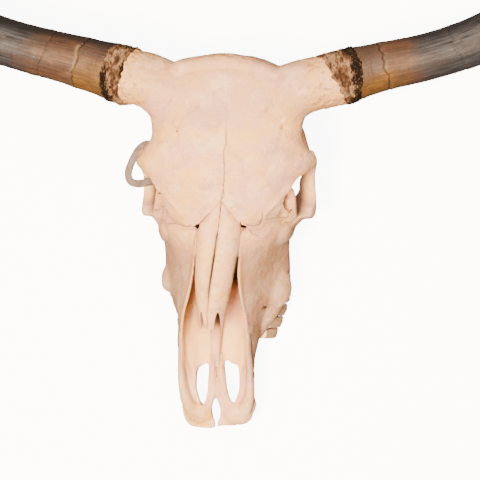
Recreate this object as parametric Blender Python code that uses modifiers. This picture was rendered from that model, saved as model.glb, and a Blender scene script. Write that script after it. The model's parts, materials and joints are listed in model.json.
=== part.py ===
"""Bull skull with horns, life size, resting on its cheek teeth and on the two points behind the jaw joints.

Lengths here are in millimetres, and MM turns them into metres where a mesh is made.
The nose points to -Y and the poll to +Y, +Z is up, and left is the animal's own left, at +X.
The bone is modelled even and straight as one whole, bent as this animal grew, and then parted along
its sutures by thin cuts that are bent with it.
"""
import math

import bmesh
import bpy
import numpy as np
from mathutils import Matrix, Vector

MM = 0.001

# driving sizes of the whole skull
POLL_Y = 243.5              # rear edge of the poll
GAP = 0.35                  # clear width of a suture between two bones
VOXEL = 2.6                 # grain of the merged bone before it is thinned out
BONE_TRIANGLES = 2560       # triangles that the merged bone is thinned out to
WELD = 0.005                # points closer together than this become one
SMALLEST_PIECE = 300.0      # cubic millimetres; smaller crumbs of a cut are left out

# keys are (y, value) from nose to poll; a half is a distance from the midline, a z is a height
FACE = {
    "rim_half": [(-235, 22), (-219, 31), (-185, 38), (-160, 43.5), (-112, 43), (-85, 37), (-53, 31),
                 (-22, 29), (16, 30.5), (40, 36), (62, 45)],
    "rim_z": [(-235, 42), (-219, 46), (-185, 55), (-160, 63), (-112, 86), (-85, 99), (-53, 114),
              (-22, 129), (16, 143), (40, 152), (62, 160)],
    "roof_z": [(-235, 44), (-160, 66), (-112, 98), (-53, 122), (-22, 136), (16, 149), (40, 158), (62, 166)],
    "flank_half": [(-235, 42), (-160, 51), (-112, 52), (-85, 56), (-53, 57), (-22, 59), (0, 62), (16, 64),
                   (40, 70), (62, 72)],
    "flank_z": [(-235, 42), (-160, 60), (-112, 76), (-85, 82), (-53, 91), (-22, 105), (0, 118), (16, 127),
                (40, 140), (62, 147)],
    "wide_half": [(-235, 49), (-202, 51), (-168, 54), (-147, 56.5), (-112, 57.5), (-100, 60), (-84, 68.5),
                  (-70, 77), (-53, 83), (-25, 86), (0, 88), (20, 89), (40, 84), (62, 70)],
    "wide_z": [(-235, 40), (-202, 43), (-168, 47), (-147, 49), (-112, 50), (-75, 47), (-53, 47), (-25, 52),
               (0, 68), (20, 88), (62, 90)],
    "base_half": [(-235, 44), (-168, 48), (-147, 50), (-128, 53), (-100, 57), (-75, 65), (-50, 70), (0, 66),
                  (30, 52), (62, 36)],
    "base_z": [(-235, 34), (-168, 33), (-147, 31), (-128, 25), (-100, 22), (0, 22), (30, 30), (62, 44)],
}

FRONTAL = {
    "half": [(14, 62), (40, 80), (60, 90), (70, 95), (80, 104), (91, 114), (106, 123), (117, 116),
             (130, 104), (142, 100.5), (154, 101), (168, 104), (190, 98), (212, 88), (226, 73), (233, 59),
             (238, 45), (241.5, 28), (243.5, 14)],
    "roof_z": [(14, 147), (40, 159), (62, 168), (100, 177), (160, 184), (205, 187), (228, 183), (243, 170)],
    "edge_z": [(14, 118), (40, 132), (62, 133), (85, 128), (107, 121), (130, 136), (154, 148), (200, 160),
               (243, 156)],
    "under_z": [(14, 96), (40, 108), (107, 108), (130, 108), (200, 112), (243, 130)],
}

CAVITY = {
    "half": [(-250, 24), (-219, 30), (-185, 37), (-160, 41), (-112, 43), (-53, 38), (24, 28)],
    "floor_z": [(-250, 42), (-185, 47), (-150, 49), (-100, 51), (-50, 56), (24, 70)],
    "rear_y": 24.0,
    "slit_y": -22.0,        # the slits beside the nasal bones open in front of this
}

NASAL = {
    "outer_half": [(-124, 15), (-99, 18), (-63, 24.5), (-22, 28.5), (16, 29.5), (30, 19), (48, 2.5)],
    "crest_z": [(-124, 111), (-99, 123), (-63, 137), (-22, 149.5), (16, 159), (48, 166)],
    "edge_drop": [(-124, 9), (-99, 13), (-22, 17), (16, 16), (48, 2)],
    "thick": 4.5,
    "front_y": -121.0,
    "root_y": 48.0,
    "middle_gap": 0.9,      # half of the open groove between the two bones
}

# outlines of the snout's front, seen from above and in order round each shape
PLATES = {
    "outline": [(6, -261), (22, -260.5), (38, -253), (48.5, -243), (53.5, -230), (50, -214), (51, -200),
                (54, -184), (30, -184), (0, -186), (-30, -184), (-53.5, -184), (-51, -202), (-51, -222),
                (-52, -240), (-47, -256), (-38, -264), (-15, -266), (-4, -264)],
    "heights": [(-264, 36), (-240, 38), (-215, 41), (-186, 46)],
    "half_thick": 4.5,
}
FISSURES = {
    "left": [(11.5, -169), (21, -173), (30.5, -178), (30.5, -205), (26, -220), (21, -229), (14.5, -217),
             (11.5, -195)],
    "right": [(-13, -175), (-21, -177), (-28, -184), (-30.5, -206), (-27, -222), (-22.5, -233), (-17, -221),
              (-14, -196)],
}
ALMOND = [(-3.6, -221), (0.6, -229), (2.9, -239), (1.6, -250), (-2.0, -258), (-2.2, -280), (-5.4, -280),
          (-5.2, -258), (-8.2, -250), (-10, -239), (-8, -229)]

TEETH = {
    "lengths": [15.0, 17.0, 18.0, 25.0, 28.0, 29.0],
    "front_y": -139.0,
    "outer_half": [(-139, 62), (-105, 71), (-60, 76), (-7, 74)],
    "left_extra": [(-139, 5), (-105, 4), (-60, 0)],     # the left row stands out further at its front
    "width": [(-139, 15), (-105, 20), (-60, 24), (-7, 22)],
    "root_z": 35.0,
    "space": 1.5,           # gap between the crowns
}

HORN = {
    "route": [(70, 188, 150), (102, 202, 155), (140, 210.5, 157), (200, 226.5, 160), (260, 239, 164),
              (325, 260.5, 172), (395, 300, 186), (455, 351, 206), (497, 410, 232)],
    "right_shift": [(70, 0), (105, 6), (125, 7), (150, 6), (200, 7.5), (260, 9), (330, 8), (500, 0)],
    "radius": [(0, 38), (30, 35), (45, 34), (85, 34.3), (118, 33), (165, 30.7), (300, 30), (360, 27.5),
               (430, 21.5), (500, 13), (540, 6), (560, 2.5)],
    "right_extra": [(0, 0), (45, 1), (75, 3), (118, 2.5), (165, 2.3), (300, 1.5), (560, 0)],
    "bone_end": 62.0,       # lengths along the route: where the bare pedicle ends
    "collar_end": 96.0,     # and where the crusted collar does
    "collar_extra": 1.0,    # how much thicker the collar is than the horn
}

# the animal grew a little crooked: from poll to nose it leans to -X and turns about its own length
LEAN = [(-270, -22.5), (-215, -23.5), (-150, -25.5), (-100, -22.8), (-60, -18.7), (0, -10.5), (60, -2.8),
        (110, 0)]
TWIST = {"from_y": 110.0, "to_y": -120.0, "amount": 0.03, "level_z": 120.0}
SEAM = {"from_y": 20.0, "to_y": -110.0, "shift": -3.2}      # where the midline leaves the middle of the snout
BROW = {"y": 98.0, "spread": 42.0, "shift": -5.0}          # the right brow stands out further than the left
CHEEK = {"y": -72.0, "spread": 46.0, "shift": 12.0, "level_z": 62.0}    # and so does the left cheek

BAND = {
    "width": 9.5,
    "thick": 1.6,
    # middle line of the band and, for each point, how flat it lies there: 1 flat, 0 on its edge
    "route": [(-94, 82, 104), (-107, 77, 108), (-118, 74.5, 109), (-127, 75, 108), (-133.5, 79, 106),
              (-135.5, 88, 106), (-132.5, 99, 108), (-127.5, 111, 111), (-121, 122, 113), (-112, 128, 111),
              (-100, 123, 100), (-92, 106, 92), (-89, 91, 96)],
    "flatness": [0.6, 0.9, 1, 1, 1, 1, 1, 1, 1, 0.8, 0.2, 0, 0.2],
}

COLOURS = {
    "bone": (0.80, 0.66, 0.52),
    "pale_bone": (0.88, 0.75, 0.62),
    "horn": (0.16, 0.11, 0.08),
    "crust": (0.30, 0.16, 0.08),
    "band": (0.62, 0.53, 0.46),
}
ROUGHNESS = {"bone": 0.62, "pale_bone": 0.58, "horn": 0.42, "crust": 0.9, "band": 0.5}


# numbers and curves

def smooth_step(value, start, end):
    """0 before start, 1 after end, and an even S between them."""
    t = np.clip((np.asarray(value, float) - start) / (end - start), 0.0, 1.0)
    return t * t * (3.0 - 2.0 * t)


def curve_at(keys, position):
    """Value at a position of the smooth curve through (position, value) keys."""
    keys = sorted(keys)
    places = np.array([k[0] for k in keys], float)
    values = np.array([k[1] for k in keys], float)
    slopes = np.diff(values) / np.diff(places)
    tangents = np.concatenate([[slopes[0]], (slopes[1:] + slopes[:-1]) / 2.0, [slopes[-1]]])
    turning = np.concatenate([[False], slopes[1:] * slopes[:-1] <= 0.0, [False]])
    tangents[turning] = 0.0
    p = np.clip(np.asarray(position, float), places[0], places[-1])
    i = np.clip(np.searchsorted(places, p) - 1, 0, len(places) - 2)
    width = places[i + 1] - places[i]
    t = (p - places[i]) / width
    return ((2 * t**3 - 3 * t**2 + 1) * values[i] + (t**3 - 2 * t**2 + t) * width * tangents[i]
            + (-2 * t**3 + 3 * t**2) * values[i + 1] + (t**3 - t**2) * width * tangents[i + 1])


def sizes_at(table, names, y):
    """The named curves of a table, read at y."""
    return [float(curve_at(table[name], y)) for name in names]


def spline(points, count, closed=False):
    """Evenly spread points on the smooth line through a few points."""
    pts = [np.array(p, float) for p in points]
    size = len(pts)
    fine = []
    for i in range(size if closed else size - 1):
        if closed:
            a, b, c, d = (pts[(i + k) % size] for k in (-1, 0, 1, 2))
        else:
            a, b, c, d = pts[max(i - 1, 0)], pts[i], pts[i + 1], pts[min(i + 2, size - 1)]
        for t in np.linspace(0.0, 1.0, 24, endpoint=False):
            fine.append(0.5 * (2 * b + (c - a) * t + (2 * a - 5 * b + 4 * c - d) * t**2
                               + (3 * b - a - 3 * c + d) * t**3))
    fine.append(pts[0] if closed else pts[-1])
    fine = np.array(fine)
    steps = np.concatenate([[0.0], np.cumsum(np.linalg.norm(np.diff(fine, axis=0), axis=1))])
    wanted = np.linspace(0.0, steps[-1], count, endpoint=not closed)
    return np.stack([np.interp(wanted, steps, fine[:, k]) for k in range(fine.shape[1])], axis=1)


def flip(points, side):
    """Points of the left side, put on the side that is +1 (left) or -1 (right)."""
    return [(p[0] * side, *p[1:]) for p in points]


def side_name(side):
    return "left" if side > 0 else "right"


def seam_x(y):
    """Where the midline suture of the snout runs in the straight skull."""
    return float(SEAM["shift"] * smooth_step(y, SEAM["from_y"], SEAM["to_y"]))


def bend_bone(thing):
    """Move the points of a straight body to where the crooked animal has them."""
    mesh = thing.data
    places = np.empty(len(mesh.vertices) * 3)
    mesh.vertices.foreach_get("co", places)
    p = places.reshape(-1, 3) / MM
    x, y, z = p[:, 0].copy(), p[:, 1], p[:, 2]
    outward = np.clip(np.abs(x) / 100.0, 0.0, 1.0)
    p[:, 0] += curve_at(LEAN, y)
    p[:, 0] += smooth_step(y, TWIST["from_y"], TWIST["to_y"]) * TWIST["amount"] * (TWIST["level_z"] - z)
    p[:, 0] += BROW["shift"] * np.exp(-((y - BROW["y"]) / BROW["spread"]) ** 2) * outward
    low = smooth_step(z, CHEEK["level_z"] + 25.0, CHEEK["level_z"] - 25.0) * smooth_step(x, 25.0, 50.0)
    p[:, 0] += CHEEK["shift"] * np.exp(-((y - CHEEK["y"]) / CHEEK["spread"]) ** 2) * low
    mesh.vertices.foreach_set("co", (p * MM).ravel())
    mesh.update()
    return thing


# bodies

def add_body(name, shape):
    """An object from a bmesh, with its faces turned out."""
    bmesh.ops.recalc_face_normals(shape, faces=shape.faces)
    mesh = bpy.data.meshes.new(name)
    shape.to_mesh(mesh)
    shape.free()
    thing = bpy.data.objects.new(name, mesh)
    bpy.context.scene.collection.objects.link(thing)
    return thing


def loft(name, rings):
    """A closed body through rings of equal length, with a flat face on each end."""
    count = len(rings[0])
    shape = bmesh.new()
    rows = [[shape.verts.new(Vector(p) * MM) for p in ring] for ring in rings]
    for near, far in zip(rows[:-1], rows[1:]):
        for k in range(count):
            shape.faces.new((near[k], near[(k + 1) % count], far[(k + 1) % count], far[k]))
    shape.faces.new(rows[0][::-1])
    shape.faces.new(rows[-1])
    return add_body(name, shape)


def even_ring(y, half_ring, count=40):
    """A left-right even ring across the skull at y, from (x, z) points of one half, top to bottom."""
    other_half = [(-x, z) for x, z in half_ring[::-1] if x > 0.0]
    return [(x, y, z) for x, z in spline(half_ring + other_half, count, closed=True)]


def ball(name, centre, radii, tilt=(0.0, 0.0, 0.0)):
    """An ellipsoid, tilted by degrees about x, then y, then z."""
    shape = bmesh.new()
    bmesh.ops.create_uvsphere(shape, u_segments=32, v_segments=20, radius=1.0)
    size = Matrix.Diagonal((*(Vector(radii) * MM), 1.0))
    turn = Matrix.Identity(4)
    for axis, angle in zip("XYZ", tilt):
        turn = Matrix.Rotation(math.radians(angle), 4, axis) @ turn
    place = Matrix.Translation(Vector(centre) * MM)
    bmesh.ops.transform(shape, matrix=place @ turn @ size, verts=shape.verts)
    return add_body(name, shape)


def bar(name, route, sizes, steps=16, sides=16, squareness=2.0):
    """A body swept along a route; its (across, upright) radii are spread evenly along it."""
    path = spline(route, steps)
    shares = np.linspace(0.0, 1.0, len(sizes))
    along = np.linspace(0.0, 1.0, steps)
    across, upright = (curve_at(list(zip(shares, [s[k] for s in sizes])), along) for k in (0, 1))
    rings = []
    for i, point in enumerate(path):
        ahead = Vector(path[min(i + 1, steps - 1)] - path[max(i - 1, 0)]).normalized()
        aside = ahead.cross(Vector((0.0, 0.0, 1.0)))
        if aside.length < 0.3:
            aside = ahead.cross(Vector((0.0, 1.0, 0.0)))
        aside.normalize()
        rise = aside.cross(ahead)
        ring = []
        for k in range(sides):
            c, s = math.cos(2.0 * math.pi * k / sides), math.sin(2.0 * math.pi * k / sides)
            reach = (abs(c) ** squareness + abs(s) ** squareness) ** (-1.0 / squareness)
            ring.append(Vector(point) + aside * (across[i] * c * reach) + rise * (upright[i] * s * reach))
        rings.append(ring)
    return loft(name, rings)


def prism(name, outline, low_z, high_z):
    """A plan outline carried from one height to another."""
    return loft(name, [[(x, y, z) for x, y in outline] for z in (low_z, high_z)])


def sheet(line, other):
    """A thin cutter between two lines of points of the straight skull, bent with the bone."""
    shape = bmesh.new()
    rows = [[shape.verts.new(Vector(p) * MM) for p in points] for points in (line, other)]
    for k in range(len(line) - 1):
        shape.faces.new((rows[0][k], rows[0][k + 1], rows[1][k + 1], rows[1][k]))
    thing = bend_bone(add_body("sheet", shape))
    solid = thing.modifiers.new("thick", "SOLIDIFY")
    solid.thickness = GAP * MM
    solid.offset = 0.0
    solid.use_even_offset = True
    return settle(thing)


def wall(plan, low_z, high_z):
    """An upright thin cutter over a plan line."""
    return sheet([(x, y, low_z) for x, y in plan], [(x, y, high_z) for x, y in plan])


# joining and cutting

def settle(thing):
    """Put an object's modifiers into its mesh."""
    bpy.context.view_layer.update()
    graph = bpy.context.evaluated_depsgraph_get()
    mesh = bpy.data.meshes.new_from_object(thing.evaluated_get(graph))
    thing.modifiers.clear()
    thing.data = mesh
    return thing


def merge(name, things, smoothing=0):
    """Overlapping bodies melted into one skin, as grown bone is."""
    shape = bmesh.new()
    for thing in things:
        shape.from_mesh(thing.data)
        bpy.data.objects.remove(thing)
    whole = add_body(name, shape)
    remesh = whole.modifiers.new("merge", "REMESH")
    remesh.mode = "VOXEL"
    remesh.voxel_size = VOXEL * MM
    if smoothing:
        ease = whole.modifiers.new("ease", "SMOOTH")
        ease.factor = 0.5
        ease.iterations = smoothing
    return settle(whole)


def combine(thing, other, operation="DIFFERENCE"):
    """Take the other body out of this one, or add it; the other is used up.

    The exact solver loses whole bodies where a thin cut grazes the skin, so the manifold one is used.
    """
    boolean = thing.modifiers.new("combine", "BOOLEAN")
    boolean.operation = operation
    boolean.solver = "MANIFOLD"
    boolean.object = other
    settle(thing)
    bpy.data.objects.remove(other)
    return thing


def loose_pieces(thing):
    """Split an object into one object for each connected body, and drop the crumbs."""
    shape = bmesh.new()
    shape.from_mesh(thing.data)
    left = set(shape.verts)
    groups = []
    while left:
        start = left.pop()
        group, edge = {start}, [start]
        while edge:
            for link in edge.pop().link_edges:
                for vert in link.verts:
                    if vert in left:
                        left.discard(vert)
                        group.add(vert)
                        edge.append(vert)
        groups.append(sorted(v.index for v in group))
    shape.free()
    groups.sort(key=len, reverse=True)
    pieces = []
    for group in groups:
        piece = bmesh.new()
        piece.from_mesh(thing.data)
        piece.verts.ensure_lookup_table()
        keep = set(group)
        bmesh.ops.delete(piece, geom=[v for v in piece.verts if v.index not in keep], context="VERTS")
        if abs(piece.calc_volume()) < SMALLEST_PIECE * MM**3:
            piece.free()
        else:
            pieces.append(add_body(thing.name, piece))
    bpy.data.objects.remove(thing)
    return pieces


def clean_up(thing):
    """Turn every face into triangles and weld slivers, where the body stays closed with them gone."""
    shape = bmesh.new()
    shape.from_mesh(thing.data)
    bmesh.ops.triangulate(shape, faces=shape.faces, ngon_method="BEAUTY")
    shape.to_mesh(thing.data)
    bmesh.ops.dissolve_degenerate(shape, edges=shape.edges, dist=WELD * MM)
    bmesh.ops.triangulate(shape, faces=shape.faces)
    if all(edge.is_manifold for edge in shape.edges):
        shape.to_mesh(thing.data)
    shape.free()


def middle(thing):
    """Mean place of a body's points, in millimetres."""
    return sum((v.co for v in thing.data.vertices), Vector()) / (len(thing.data.vertices) * MM)


def part(thing, cutters, is_first):
    """Cut a body in two; is_first knows a middle that lies in the first of them."""
    for cutter in cutters:
        combine(thing, cutter)
    pieces = loose_pieces(thing)
    first = [piece for piece in pieces if is_first(middle(piece))]
    second = [piece for piece in pieces if piece not in first]
    return first[0], second[0]


# the grown bone, straight and even

def face_body():
    """Face and snout, from the premaxillae to the front of the orbits."""
    names = ("rim_half", "rim_z", "roof_z", "flank_half", "flank_z", "wide_half", "wide_z", "base_half",
             "base_z")
    rings = []
    for y in np.linspace(-235.0, 62.0, 42):
        rim_half, rim_z, roof_z, flank_half, flank_z, wide_half, wide_z, base_half, base_z = \
            sizes_at(FACE, names, y)
        vault_z = base_z + 6.0
        rings.append(even_ring(y, [
            (0.0, roof_z), (rim_half * 0.6, roof_z - 0.25 * (roof_z - rim_z)), (rim_half, rim_z),
            (flank_half, flank_z), (wide_half, wide_z), (base_half + 3.0, (wide_z + base_z) / 2.0),
            (base_half - 5.0, base_z), (base_half * 0.45, vault_z), (0.0, vault_z)]))
    return loft("face", rings)


def forehead():
    """The broad frontal bones, from the root of the nose to the poll."""
    rings = []
    for y in np.linspace(14.0, POLL_Y, 46):
        half, roof_z, edge_z, under_z = sizes_at(FRONTAL, ("half", "roof_z", "edge_z", "under_z"), y)
        drop = roof_z - edge_z
        rings.append(even_ring(y, [
            (0.0, roof_z), (0.4 * half, roof_z - 0.07 * drop), (0.7 * half, roof_z - 0.27 * drop),
            (0.9 * half, roof_z - 0.6 * drop), (half, edge_z), (half - 5.0, (edge_z + under_z) / 2.0),
            (0.8 * half, under_z), (0.4 * half, under_z), (0.0, under_z)], 48))
    return loft("forehead", rings)


def braincase():
    """Brain box, nape and the base below them."""
    return [
        bar("box", [(0, 40, 112), (0, 90, 112), (0, 150, 106), (0, 212, 100)],
            [(52, 36), (56, 44), (66, 50), (74, 46)], 16, 24),
        ball("nape", (0, 206, 120), (88, 25, 62)),
        bar("base", [(0, 50, 62), (0, 100, 54), (0, 160, 49), (0, 218, 55)],
            [(22, 16), (22, 14), (20, 12), (26, 15)], 12),
        bar("poll_ridge", [(-86, 208, 150), (-50, 222, 160), (0, 229, 164), (50, 220, 160), (86, 204, 150)],
            [(14, 20), (14, 24), (15, 24), (14, 24), (14, 20)], 20, 16),
    ]


def ear_region(side):
    """Lump behind the jaw joint, its bulla, the neck joint and the point the skull rests on."""
    return [
        ball("mastoid", (66 * side, 188, 92), (25, 24, 34)),
        ball("bulla", (44 * side, 158, 46), (13, 22, 18), (20, 0, 0)),
        bar("jugular_process", flip([(54, 194, 72), (54, 197, 44), (51, 195, 18), (48, 191, -6)], side),
            [(18, 15), (16, 13), (13, 10), (11, 8)], 12, 14),
        ball("condyle", (25 * side, 222, 60), (19, 18, 24), (-20, 0, 18 * side)),
    ]


def cheekbone(side):
    """Cheekbone with its arch, the bar behind the eye, the lower lip of the orbit and its brow."""
    outline = flip([(118.5, 100), (119, 70), (119.5, 37), (116, 31), (104, 30), (96, 20), (84, 12), (74, 36),
                    (76, 56), (93, 59), (97, 66), (102, 77), (105, 100)], side)
    rings = []
    for z, share in ((74, 0.94), (80, 1.0), (92, 1.0), (100, 0.97)):
        rings.append([(x * share, 66.0 + (y - 66.0) * share, z) for x, y in outline])
    return [
        bar("arch", flip([(110, 92, 86), (107, 108, 85), (98, 130, 86), (86, 150, 89), (58, 164, 94)], side),
            [(6, 12), (6.5, 10), (8, 9), (12, 10), (18, 14)], 18, 14),
        loft("orbit_lip", rings),
        bar("eye_bar", flip([(108, 116, 124), (114.5, 106, 118), (115, 97, 104), (112, 93, 90)], side),
            [(10, 8), (8, 7), (7, 7), (8, 8)], 12, 14),
        bar("brow_rim", flip([(113, 107, 121), (101, 90, 130), (87, 70, 138), (80, 50, 131), (89, 32, 108)],
                             side), [(7, 7), (6, 7), (7, 8), (8, 8), (9, 9)], 16, 14),
        ball("cheek", (77 * side, 20, 84), (18, 26, 24)),
    ]


def lower_face(side):
    """Facial tuber and the plate behind the palate."""
    if side > 0:
        tuber = ball("tuber", (72, -62, 55), (17, 32, 11), (0, 0, 6))
    else:
        tuber = ball("tuber", (-71, -55, 57), (16.5, 26, 11), (0, 0, -6))
    return [
        tuber,
        bar("pterygoid", flip([(34, -8, 44), (31, 26, 34), (27, 58, 34), (26, 92, 48)], side),
            [(9, 24), (5, 22), (5, 18), (8, 13)], 12, 12),
    ]


def pedicle(side):
    """Bony stump that carries a horn; it runs on past the cut that ends it."""
    extra = 0.0 if side > 0 else 1.0
    sizes = [(40, 32), (35.5 + extra, 35), (34.3 + 2.0 * extra, 34.5), (34 + 2.0 * extra, 34.5)]
    return bar("pedicle", horn_line(side)[0][:140:10], sizes, 16, 28)


def front_plates():
    """Front plates of the snout, in one piece across the midline."""
    outline = spline(PLATES["outline"], 76, closed=True)
    rings = [[(x, y, float(curve_at(PLATES["heights"], y)) + lift) for x, y in outline]
             for lift in (-PLATES["half_thick"], PLATES["half_thick"])]
    return loft("front_plates", rings)


def bone_masses():
    """Everything that grows, before the hollows are taken out."""
    masses = [face_body(), forehead(), *braincase(), front_plates()]
    for side in (1.0, -1.0):
        masses += [pedicle(side)] + ear_region(side) + cheekbone(side) + lower_face(side)
    return masses


def nasal_cavity():
    """Hollow of the nose, open upward in front of the slits beside the nasal bones."""
    rings = []
    for y in np.linspace(-250.0, CAVITY["rear_y"], 34):
        half, floor_z = sizes_at(CAVITY, ("half", "floor_z"), y)
        rim_half, rim_z = sizes_at(FACE, ("rim_half", "rim_z"), y)
        top_z = 200.0 if y < CAVITY["slit_y"] else rim_z - 2.0 - 0.9 * (y - CAVITY["slit_y"])
        edge_z = min(rim_z, top_z - 2.0)
        left = [(rim_half - 0.5, top_z), (rim_half - 0.5, edge_z), (half, (edge_z + floor_z) / 2.0),
                (0.86 * half, floor_z + 5.0), (0.6 * half, floor_z)]
        ring = [(0.0, top_z)] + left + [(0.0, floor_z)] + [(-x, z) for x, z in left[::-1]]
        rings.append([(x, y, z) for x, z in ring])
    return loft("nasal_cavity", rings)


def hollows():
    """Spaces taken out of the grown bone."""
    spaces = [
        nasal_cavity(),
        ball("palate_vault", (0, -66, 14), (40, 92, 22)),
        bar("choana", [(0, 4, 52), (0, 40, 50), (0, 84, 30)], [(16, 18), (19, 22), (20, 24)], 10),
        bar("spinal_opening", [(0, 250, 78), (0, 224, 80), (0, 190, 86)], [(19, 18), (18, 17), (14, 14)], 8),
    ]
    for side in (1.0, -1.0):
        spaces += [
            ball("orbit", (112 * side, 68, 115), (50, 30, 25), (0, 20 * side, 12 * side)),
            bar("behind_eye", flip([(79, 66, -10), (79, 68, 50), (80, 78, 108)], side),
                [(18, 10), (17, 15), (14, 18)], 10, 16, 3.0),
            bar("temporal_fossa", flip([(86, 84, 88), (83, 116, 92), (78, 142, 98)], side),
                [(14, 24), (15, 20), (13, 14)], 10, 16, 2.6),
        ]
    return spaces


def snout_holes():
    """The two long openings of the palate and the almond between the front plates."""
    outlines = [FISSURES["left"], FISSURES["right"], ALMOND]
    return [prism("snout_hole", spline(line, 40, closed=True), 0.0, 80.0) for line in outlines]


def grown_bone():
    """The merged, hollowed, smoothed and thinned-out bone, bent as the animal grew."""
    whole = merge("bone", bone_masses())
    combine(whole, merge("spaces", hollows()))
    whole = merge("bone", [whole], 5)
    for hole in snout_holes():
        combine(whole, hole)
    thin = whole.modifiers.new("thin", "DECIMATE")
    thin.ratio = BONE_TRIANGLES / sum(len(face.vertices) - 2 for face in whole.data.polygons)
    settle(whole)
    for side in (1.0, -1.0):
        combine(whole, horn_length("beyond", side, HORN["bone_end"], 170.0, 4, 14.0))
    combine(whole, prism("floor", [(-300, -300), (300, -300), (300, 300), (-300, 300)], -60.0, 0.0))
    return bend_bone(whole)


# pieces that are modelled on their own

def nasal_bone(side, grow=0.0):
    """One nasal bone, its forked tip still closed; grow makes the room it lies in."""
    rings = []
    places = [*np.linspace(NASAL["front_y"], 30.0, 11), 35.0, 40.0, 44.5, NASAL["root_y"]]
    if grow > 0.0:
        places = [NASAL["front_y"] - 10.0] + places[:-1] + [NASAL["root_y"] + grow]
    for y in places:
        outer, crest_z, drop = sizes_at(NASAL, ("outer_half", "crest_z", "edge_drop"), y)
        start = seam_x(y) + side * (NASAL["middle_gap"] if grow == 0.0 else -0.5)
        reach = side * (outer + grow) - start
        top = 40.0 if grow > 0.0 else 0.0
        thick = NASAL["thick"] + 2.5 * grow
        dip = 1.0 if grow == 0.0 else 3.0
        outline = [
            (0.0, crest_z - 3.0 + top), (0.12, crest_z - 1.0 + top), (0.35, crest_z + top),
            (0.6, crest_z - 0.13 * drop + top), (0.8, crest_z - 0.4 * drop + top),
            (0.94, crest_z - 0.75 * drop + top), (1.0, crest_z - drop + top),
            (1.0, crest_z - drop - 2.0 - grow), (0.9, crest_z - 0.8 * drop - thick * 0.8),
            (0.6, crest_z - 0.2 * drop - thick), (0.3, crest_z - dip - thick), (0.0, crest_z - 3.0 - thick)]
        rings.append([(start + reach * share, y, z) for share, z in outline])
    return bend_bone(loft("nasal_" + side_name(side), rings))


def nasal_notch(side):
    """The cut between the two prongs of a nasal bone's tip."""
    if side > 0:
        line = [(2.0, -130), (3.2, -112), (8.4, -98), (11.4, -110), (12.6, -130)]
    else:
        line = [(-10.6, -130), (-12.6, -108), (-14.4, -99), (-15.6, -106), (-15.4, -130)]
    return bend_bone(prism("notch", line, 60.0, 200.0))


def vomer(grow=0.0):
    """Upright blade on the floor of the nose; grow makes the groove it stands in."""
    route = [(seam_x(-176), -176 - grow, 50), (seam_x(-140), -140, 57), (seam_x(-90), -90, 64),
             (seam_x(-30), -30, 74), (0, 16 + grow, 84)]
    sizes = [(3.2, 4.5), (4.6, 9), (4.6, 14), (4.2, 20), (4.0, 22)]
    return bend_bone(bar("vomer", route, [(a + grow, b + grow) for a, b in sizes], 10, 8, 2.6))


def tooth_row(side):
    """The six cheek teeth of one side, as separate closed blocks that stand in the jaw."""
    crowns = []
    y = TEETH["front_y"]
    for length in TEETH["lengths"]:
        near, far = y + TEETH["space"] / 2.0, y + length - TEETH["space"] / 2.0
        outer, width, extra = sizes_at(TEETH, ("outer_half", "width", "left_extra"), y + length / 2.0)
        outer += extra * (side > 0)
        rings = []
        for z, inset in ((0.0, 1.2), (2.5, 0.0), (TEETH["root_z"], 2.6)):
            lean = 3.0 - 0.16 * z
            inner, outside = outer - width + inset + lean, outer - inset + lean
            corner = 0.26 * length
            rings.append([(x * side, v, z) for x, v in (
                (inner + 3, near + inset), (outside - 3, near + inset), (outside, near + corner),
                (outside - 1.6, (near + far) / 2.0), (outside, far - corner), (outside - 3, far - inset),
                (inner + 3, far - inset), (inner, far - corner), (inner, near + corner))])
        crowns.append(bend_bone(loft("crown", rings)))
        y += length
    return crowns


def horn_line(side):
    """Points a millimetre or so apart down the middle of a horn and its core, and how far along they are."""
    route = HORN["route"]
    if side < 0:
        route = [(x, y + float(curve_at(HORN["right_shift"], x)), z) for x, y, z in route]
    line = spline(flip(route, side), 561)
    steps = np.linalg.norm(np.diff(line, axis=0), axis=1)
    return line, np.concatenate([[0.0], np.cumsum(steps)])


def horn_length(name, side, start, end, rings, extra=0.0, sides=16):
    """The stretch of horn between two lengths along its middle, extra thicker than the horn."""
    line, run = horn_line(side)
    bodies = []
    for s in np.linspace(start, min(end, run[-1]), rings):
        point, before, after = (Vector([float(np.interp(s + d, run, line[:, k])) for k in range(3)])
                                for d in (0.0, -2.0, 2.0))
        ahead = (after - before).normalized()
        aside = ahead.cross(Vector((0.0, 0.0, 1.0))).normalized()
        rise = aside.cross(ahead)
        radius = float(curve_at(HORN["radius"], s)) + extra
        if side < 0:
            radius += float(curve_at(HORN["right_extra"], s))
        bodies.append([point + aside * (radius * math.cos(2.0 * math.pi * k / sides))
                       + rise * (radius * math.sin(2.0 * math.pi * k / sides)) for k in range(sides)])
    return loft(name, bodies)


def tie_band():
    """Flat band looped round the bar behind the right eye."""
    count = 32
    path = spline(BAND["route"], count, closed=True)
    spots = np.linspace(0.0, len(BAND["flatness"]), count, endpoint=False)
    flatness = np.interp(spots, range(len(BAND["flatness"])), BAND["flatness"], period=len(BAND["flatness"]))
    shape = bmesh.new()
    rows = []
    for i, point in enumerate(path):
        ahead = Vector(path[(i + 1) % count] - path[i - 1]).normalized()
        level = ahead.cross(Vector((0.0, 0.0, 1.0))).normalized()
        upright = level.cross(ahead)
        lie = (level * flatness[i] + upright * (1.0 - flatness[i])).normalized()
        out = ahead.cross(lie)
        wide, thin = BAND["width"] / 2.0, BAND["thick"] / 2.0
        rows.append([shape.verts.new((Vector(point) + lie * (a * wide) + out * (b * thin)) * MM)
                     for a, b in ((-1, -1), (1, -1), (1, 1), (-1, 1))])
    for near, far in zip(rows, rows[1:] + rows[:1]):
        for k in range(4):
            shape.faces.new((near[k], near[(k + 1) % 4], far[(k + 1) % 4], far[k]))
    return bend_bone(add_body("tie_band", shape))


# sutures

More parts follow.
